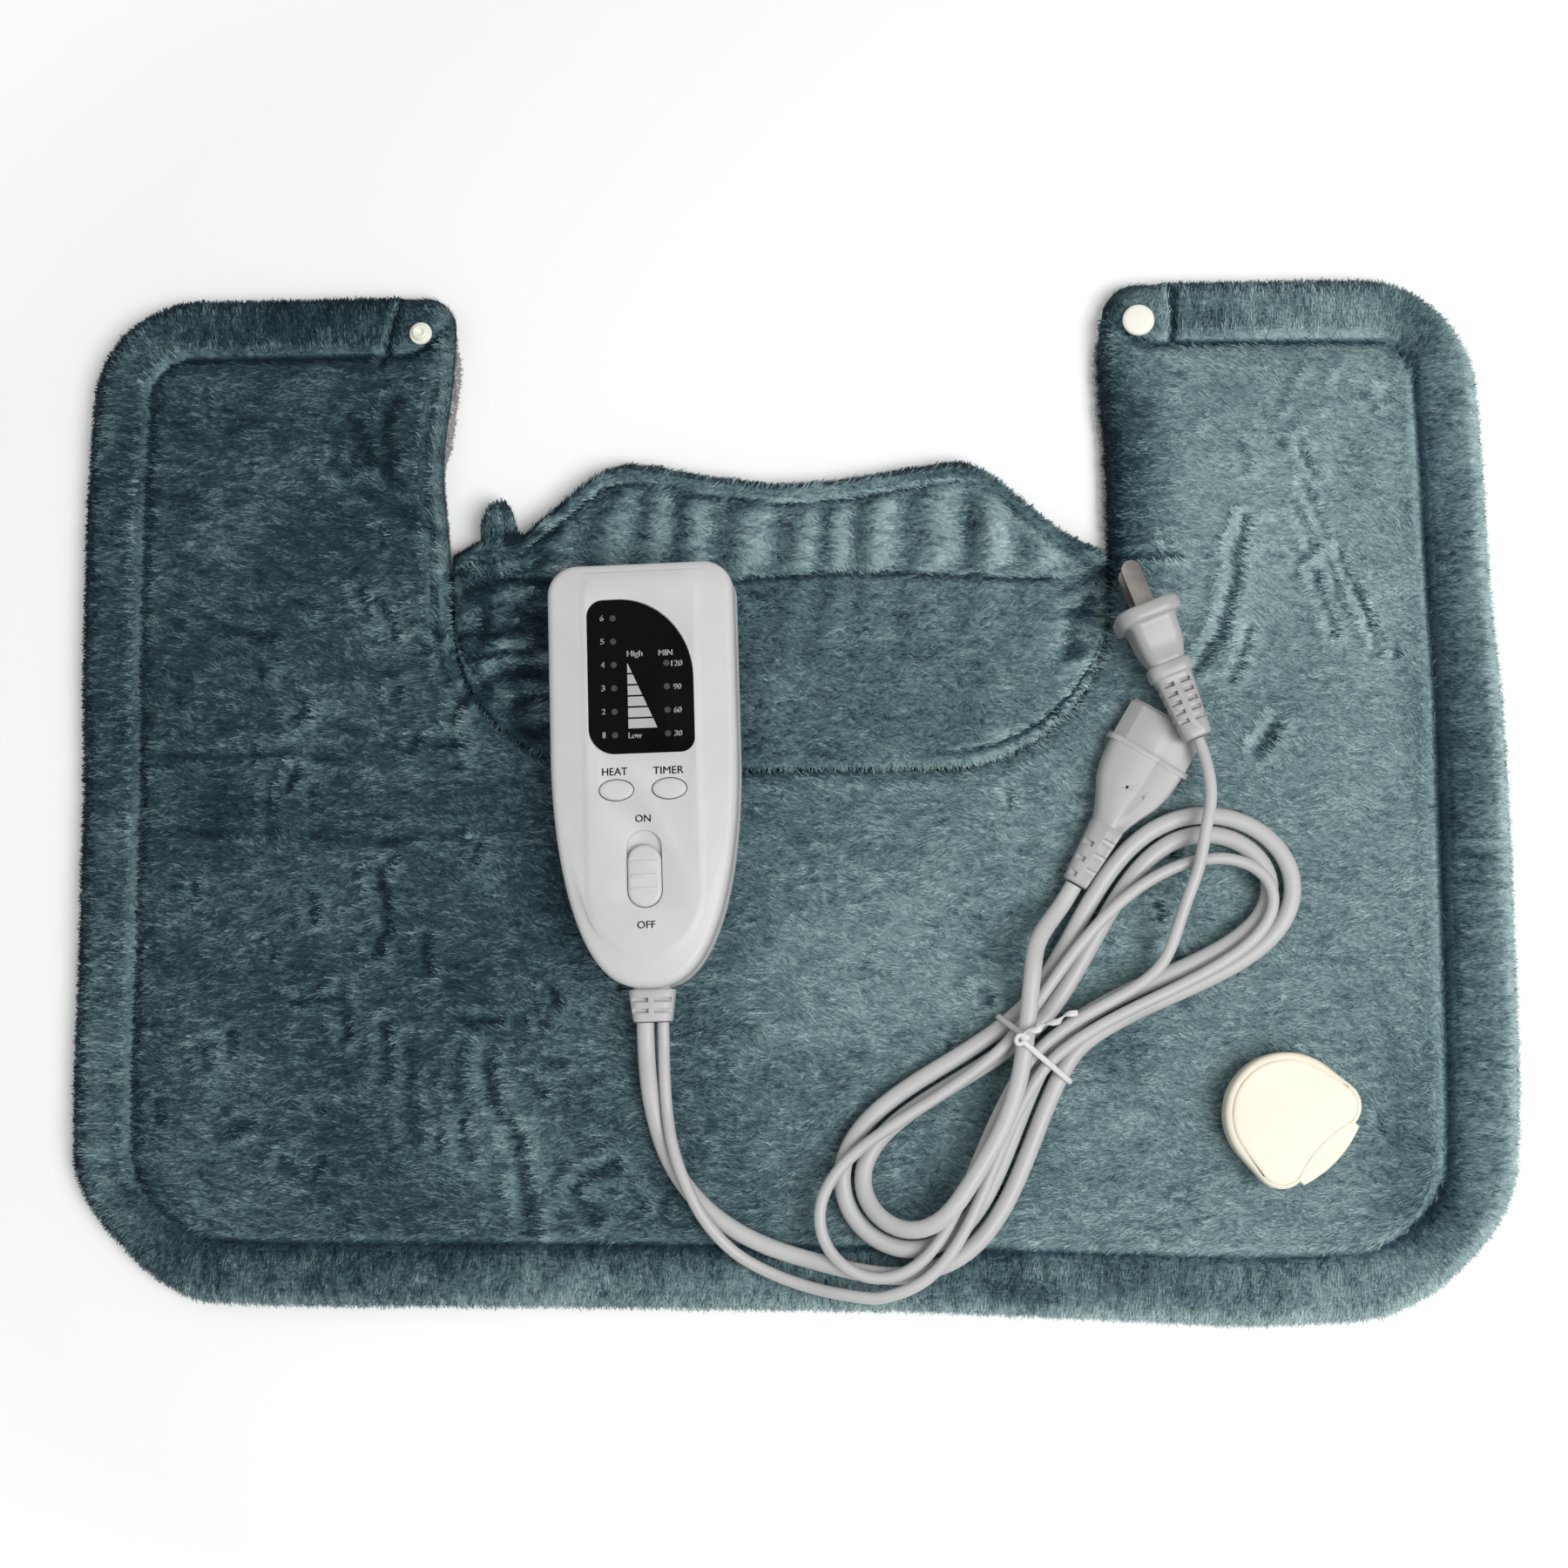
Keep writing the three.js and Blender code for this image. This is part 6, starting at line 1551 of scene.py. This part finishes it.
def label(name, text, height, width, x, y, z, material):
    obj = new_shape(bpy.ops.object.text_add)
    obj.data.body = text
    obj.data.size = 1
    obj.data.resolution_u = 3
    bpy.ops.object.convert(target="MESH")
    edit(strike_twice)
    obj.name = obj.data.name = name
    points = coords(obj.data)
    low, high = points.min(0), points.max(0)
    points[:, 0] = (points[:, 0] - (low[0] + high[0]) / 2) * width / (high[0] - low[0])
    points[:, 1] = points[:, 1] * height / CAPITAL - height / 2
    points[:, 2] = 0
    set_coords(obj.data, points)
    obj.data.transform(CTRL @ Matrix.Translation((x, y, z)))
    return finish_piece(obj, material, "pad", "lens")


for name, text, height, width, x, y in (
    ("label_heat", "HEAT", 2.5, 8.1, -8.8, 0.5),
    ("label_timer", "TIMER", 2.5, 9.8, 8.2, 0.4),
    ("label_on", "ON", 2.4, 5.0, -0.2, -14.6),
    ("label_off", "OFF", 2.4, 5.8, 0.1, -48.0),
):
    label(name, text, height, width, x, y, FACE_Z, print_black)
levels = [(f"level_{k + 1}", str(k + 1), 1.2 if k else 0.8, -11.9, 12.2 + 7.5 * k) for k in range(LEVELS)]
minutes = [
    ("minutes_" + text, text, width, 11.7, 12.0 + 7.45 * k)
    for k, (text, width) in enumerate((("30", 2.5), ("60", 2.5), ("90", 2.5), ("120", 3.6)))
]
for name, text, width, x, y in (
    *levels,
    *minutes,
    ("label_high", "High", 5.0, -1.6, 38),
    ("label_low", "Low", 4.3, -2.0, 11.8),
    ("label_min", "MIN", 4.5, 8.2, 37.9),
):
    label(name, text, 1.9, width, x, y, LENS_Z, print_white)


def flat_piece(name, points, z, material):
    obj = build_up(name, [lift(points, z - 0.06), lift(points, z)], CTRL)
    return finish_piece(obj, material, "pad", "lens")


def ramp_bar(low, high):
    """One bar of the wedge between Low and High, which narrows upwards."""
    left = -4.1
    wide = [max(9.2 * (35.2 - y) / 21.2, 0.12) for y in (low, high)]
    return [(left, low), (left + wide[0], low), (left + wide[1], high), (left, high)]


for k in range(6):
    low = 14.0 + 3.55 * k
    flat_piece(f"ramp_{k + 1}", ramp_bar(low, low + 3.0), LENS_Z, print_grey)
for column, x, count in (("heat", -BUTTON_X, LEVELS), ("timer", BUTTON_X, STEPS)):
    for k in range(count):
        spot = [(px, py) for px, py, _ in round_ring(1.0, 0, 16, x, 12 + 7.5 * k)]
        flat_piece(f"{column}_dot_{k + 1}", spot, LENS_Z - 0.01, led_dark)


# Mains plug and pad connector, built along their own lengths
ALONG = Matrix.Rotation(math.pi / 2, 4, "Z") @ Matrix.Rotation(math.pi / 2, 4, "X")
PLUG_MATRIX = placed(*PLUG_AT, PLUG_Z, PLUG_TURN) @ ALONG
BLADE_R, BLADE_REACH, BLADE_Y = 3.175, 11.8, 6.35


def plug_piece():
    rows = (
        (17.5, 22.5, 5, 0), (19.8, 24.8, 6, 0.35), (20.8, 25.8, 6.4, 1.1), (21, 26, 6.5, 2),
        (21, 26, 6.5, 3.4), (20.6, 25.6, 6.3, 4.4), (19.4, 24.4, 5.6, 5.1), (16.6, 22.0, 4.2, 5.3),
        (15.4, 21.2, 3.4, 5.7), (14.9, 20.7, 3.2, 7), (14.5, 19.4, 3.2, 12), (13.6, 17.0, 3.2, 15),
        (12.2, 13.6, 3.2, 17.6), (11.6, 11.8, 3.1, 18.8), (11.9, 11.7, 3.1, 19.1),
        (13.4, 12.4, 3.3, 19.4), (14, 13, 3.5, 20.0), (14, 13, 3.5, 22.9), (13.5, 12.4, 3.4, 23.5),
        (12.5, 10.9, 3.4, 23.8), (12.2, 10.4, 3.4, 24.2), (9.4, 8.7, 3, 43.6), (8.9, 8.2, 2.9, 44.4),
        (7.4, 6.8, 2.5, 44.7),
    )
    slots, notches = [], []
    for row in range(5):
        z = 26.4 + 3.1 * row
        for side in (-1, 1):
            for face in (-1, 1):
                slots.append((*span(side, 1.0, 4.3), *span(face, 3.1, 8), z - 0.7, z + 0.7))
            notches.append((*span(side, 5.6 - 0.217 * row, 9), -8, 8, z - 0.7, z + 0.7))
    return rigid(
        "plug", [rounded_ring(*row, 8) for row in rows], PLUG_MATRIX, PLUG, "plug_body",
        cuts=[cutter_boxes(slots, PLUG_MATRIX), cutter_boxes(notches, PLUG_MATRIX)], edge=0.25,
    )


def blade_piece(kind, y):
    matrix = PLUG_MATRIX @ Matrix.Translation((0, y, 0)) @ Matrix.Rotation(math.pi / 2, 4, "X")
    outline = [(-BLADE_R, 1.0), *arc(0, -BLADE_REACH, BLADE_R, BLADE_R, 180, 360, 16), (BLADE_R, 1.0)]
    rings = [
        [(px * grow, py, z) for px, py in outline]
        for grow, z in ((0.96, -0.75), (1, -0.6), (1, 0.6), (0.96, 0.75))
    ]
    look = (plug_metal, "pad", "plated_metal")
    return rigid("blade_" + kind, rings, matrix, look, "plug_blade_" + kind)


def nose_ring(z, shrink=0.0):
    """The connector's front: a block with its upper left side cut lower."""
    side, top, low = 13 - shrink, 3 - shrink, 2.1 - 0.6 * shrink
    outline = [
        (-side, shrink - 3), (side, shrink - 3), (side, 0.2), (8.8 - shrink, top), (-0.8, top),
        (-1.7, top - 0.2), (-4.3, low), (-9.5, low - 0.3), (-10.3, low - 0.7), (-side, low - 0.8),
    ]
    return lift(outline, z)


def grip_ring(width, height, z, crown):
    """The connector's grip: round on one side, stepped down on the other by the crown's share."""
    half, tall = width / 2, height / 2
    step = -0.15 * width
    return lift(
        [
            *arc(half - tall * 0.9, 0, tall * 0.9, tall, -90, 90, 10),
            (step + 1.0, tall), (step, tall * (1 - 0.1 * crown)),
            (step - 0.12 * width, tall * (1 - 0.62 * crown)), (-half + 1.6, tall * (1 - 0.72 * crown)),
            (-half + 0.3, tall * (1 - 0.85 * crown)), (-half, 0), (-half, -tall + 1.2),
            (-half + 1.2, -tall), (0, -tall),
        ],
        z,
    )


def connector_pieces():
    matrix = placed(*JOINT_AT, JOINT_Z, JOINT_TURN) @ ALONG
    nose = rigid(
        "connector_front", [nose_ring(0.9), nose_ring(13), nose_ring(14.4, 1.1)], matrix, PLUG,
        "connector_nose", cuts=[cutter_boxes([(x - 1, x + 1, -1, 1, 6, 16) for x in (-5, 5)], matrix)],
        edge=0.35, angle=25,
    )
    rows = (
        (28.8, 9, 0.9, 1), (28.8, 9, -0.9, 1), (26, 8.6, -0.95, 1), (25.8, 8.5, -3, 1), (24.4, 8.5, -9, 1),
        (21.8, 8.5, -13.6, 0.95), (16.2, 8.3, -19.2, 0.7), (12.6, 8, -23.4, 0.4), (11.2, 7.9, -25.7, 0.2),
        (10.7, 7.7, -26.0, 0.1), (11.3, 8, -26.3, 0.1), (8.3, 7.2, -46.6, 0), (7.4, 6.4, -47.1, 0),
    )
    slots = [
        (*span(side, 0.9, 8), *span(face, 2.4, 8), z - 5.4 * row - 0.8, z - 5.4 * row + 0.8)
        for row in range(3) for side, z in ((-1, -31), (1, -33.7)) for face in (-1, 1)
    ]
    slots += [(x - 0.4, x + 0.4, 1.5, 8, z - 0.5, z + 0.5) for x, z in ((0.7, -12.5), (-5.3, -12.8))]
    grip = rigid(
        "connector_body", [grip_ring(*row) for row in rows], matrix, PLUG, "connector_grip",
        cuts=[cutter_boxes(slots, matrix)], edge=0.3, angle=32,
    )
    return nose, grip


plug = plug_piece()
blade_piece("upper", BLADE_Y)
blade_piece("lower", -BLADE_Y)
connector_nose, connector_grip = connector_pieces()


# Stage and light
def add_floor():
    floor = new_shape(bpy.ops.mesh.primitive_plane_add, size=8, location=(0, 0, -0.0004))
    floor.name = "floor"
    material, tree, shader = new_material("floor_white")
    where = node(tree, "TexCoord").outputs["Object"]
    reach = node(tree, "VectorMath", {0: where}, operation="LENGTH").outputs["Value"]
    feed(tree, shader, {
        "Base Color": (0.95, 0.95, 0.95, 1), "Roughness": 0.9, "Emission Color": (1, 1, 1, 1),
        "Emission Strength": spread(tree, reach, (0.3, 0.9), (0.0, 0.7)),
    })
    floor.data.materials.append(material)


def add_light():
    world = bpy.data.worlds.new("studio")
    bpy.context.scene.world = world
    world.use_nodes = True
    tree = world.node_tree
    tree.nodes.clear()
    lit, seen = (
        node(tree, "Background", {"Color": (1, 1, 1, 1), "Strength": strength}).outputs[0]
        for strength in (0.38, 1.0)
    )
    camera_ray = node(tree, "LightPath").outputs["Is Camera Ray"]
    mix = node(tree, "MixShader", {0: camera_ray, 1: lit, 2: seen}).outputs[0]
    node(tree, "OutputWorld", {0: mix})
    for name, at, size, power in (
        ("key_light", (0.62, -0.3, 1.15), 0.7, 15.0),
        ("fill_light", (-0.7, 0.5, 1.4), 1.4, 3.5),
    ):
        data = bpy.data.lights.new(name, "AREA")
        data.energy = power
        data.size = size
        light = new_object(name, data)
        light.location = at
        light.rotation_euler = (-Vector(at)).to_track_quat("-Z", "Y").to_euler()


add_floor()
add_light()
bpy.context.scene.view_settings.view_transform = "Standard"
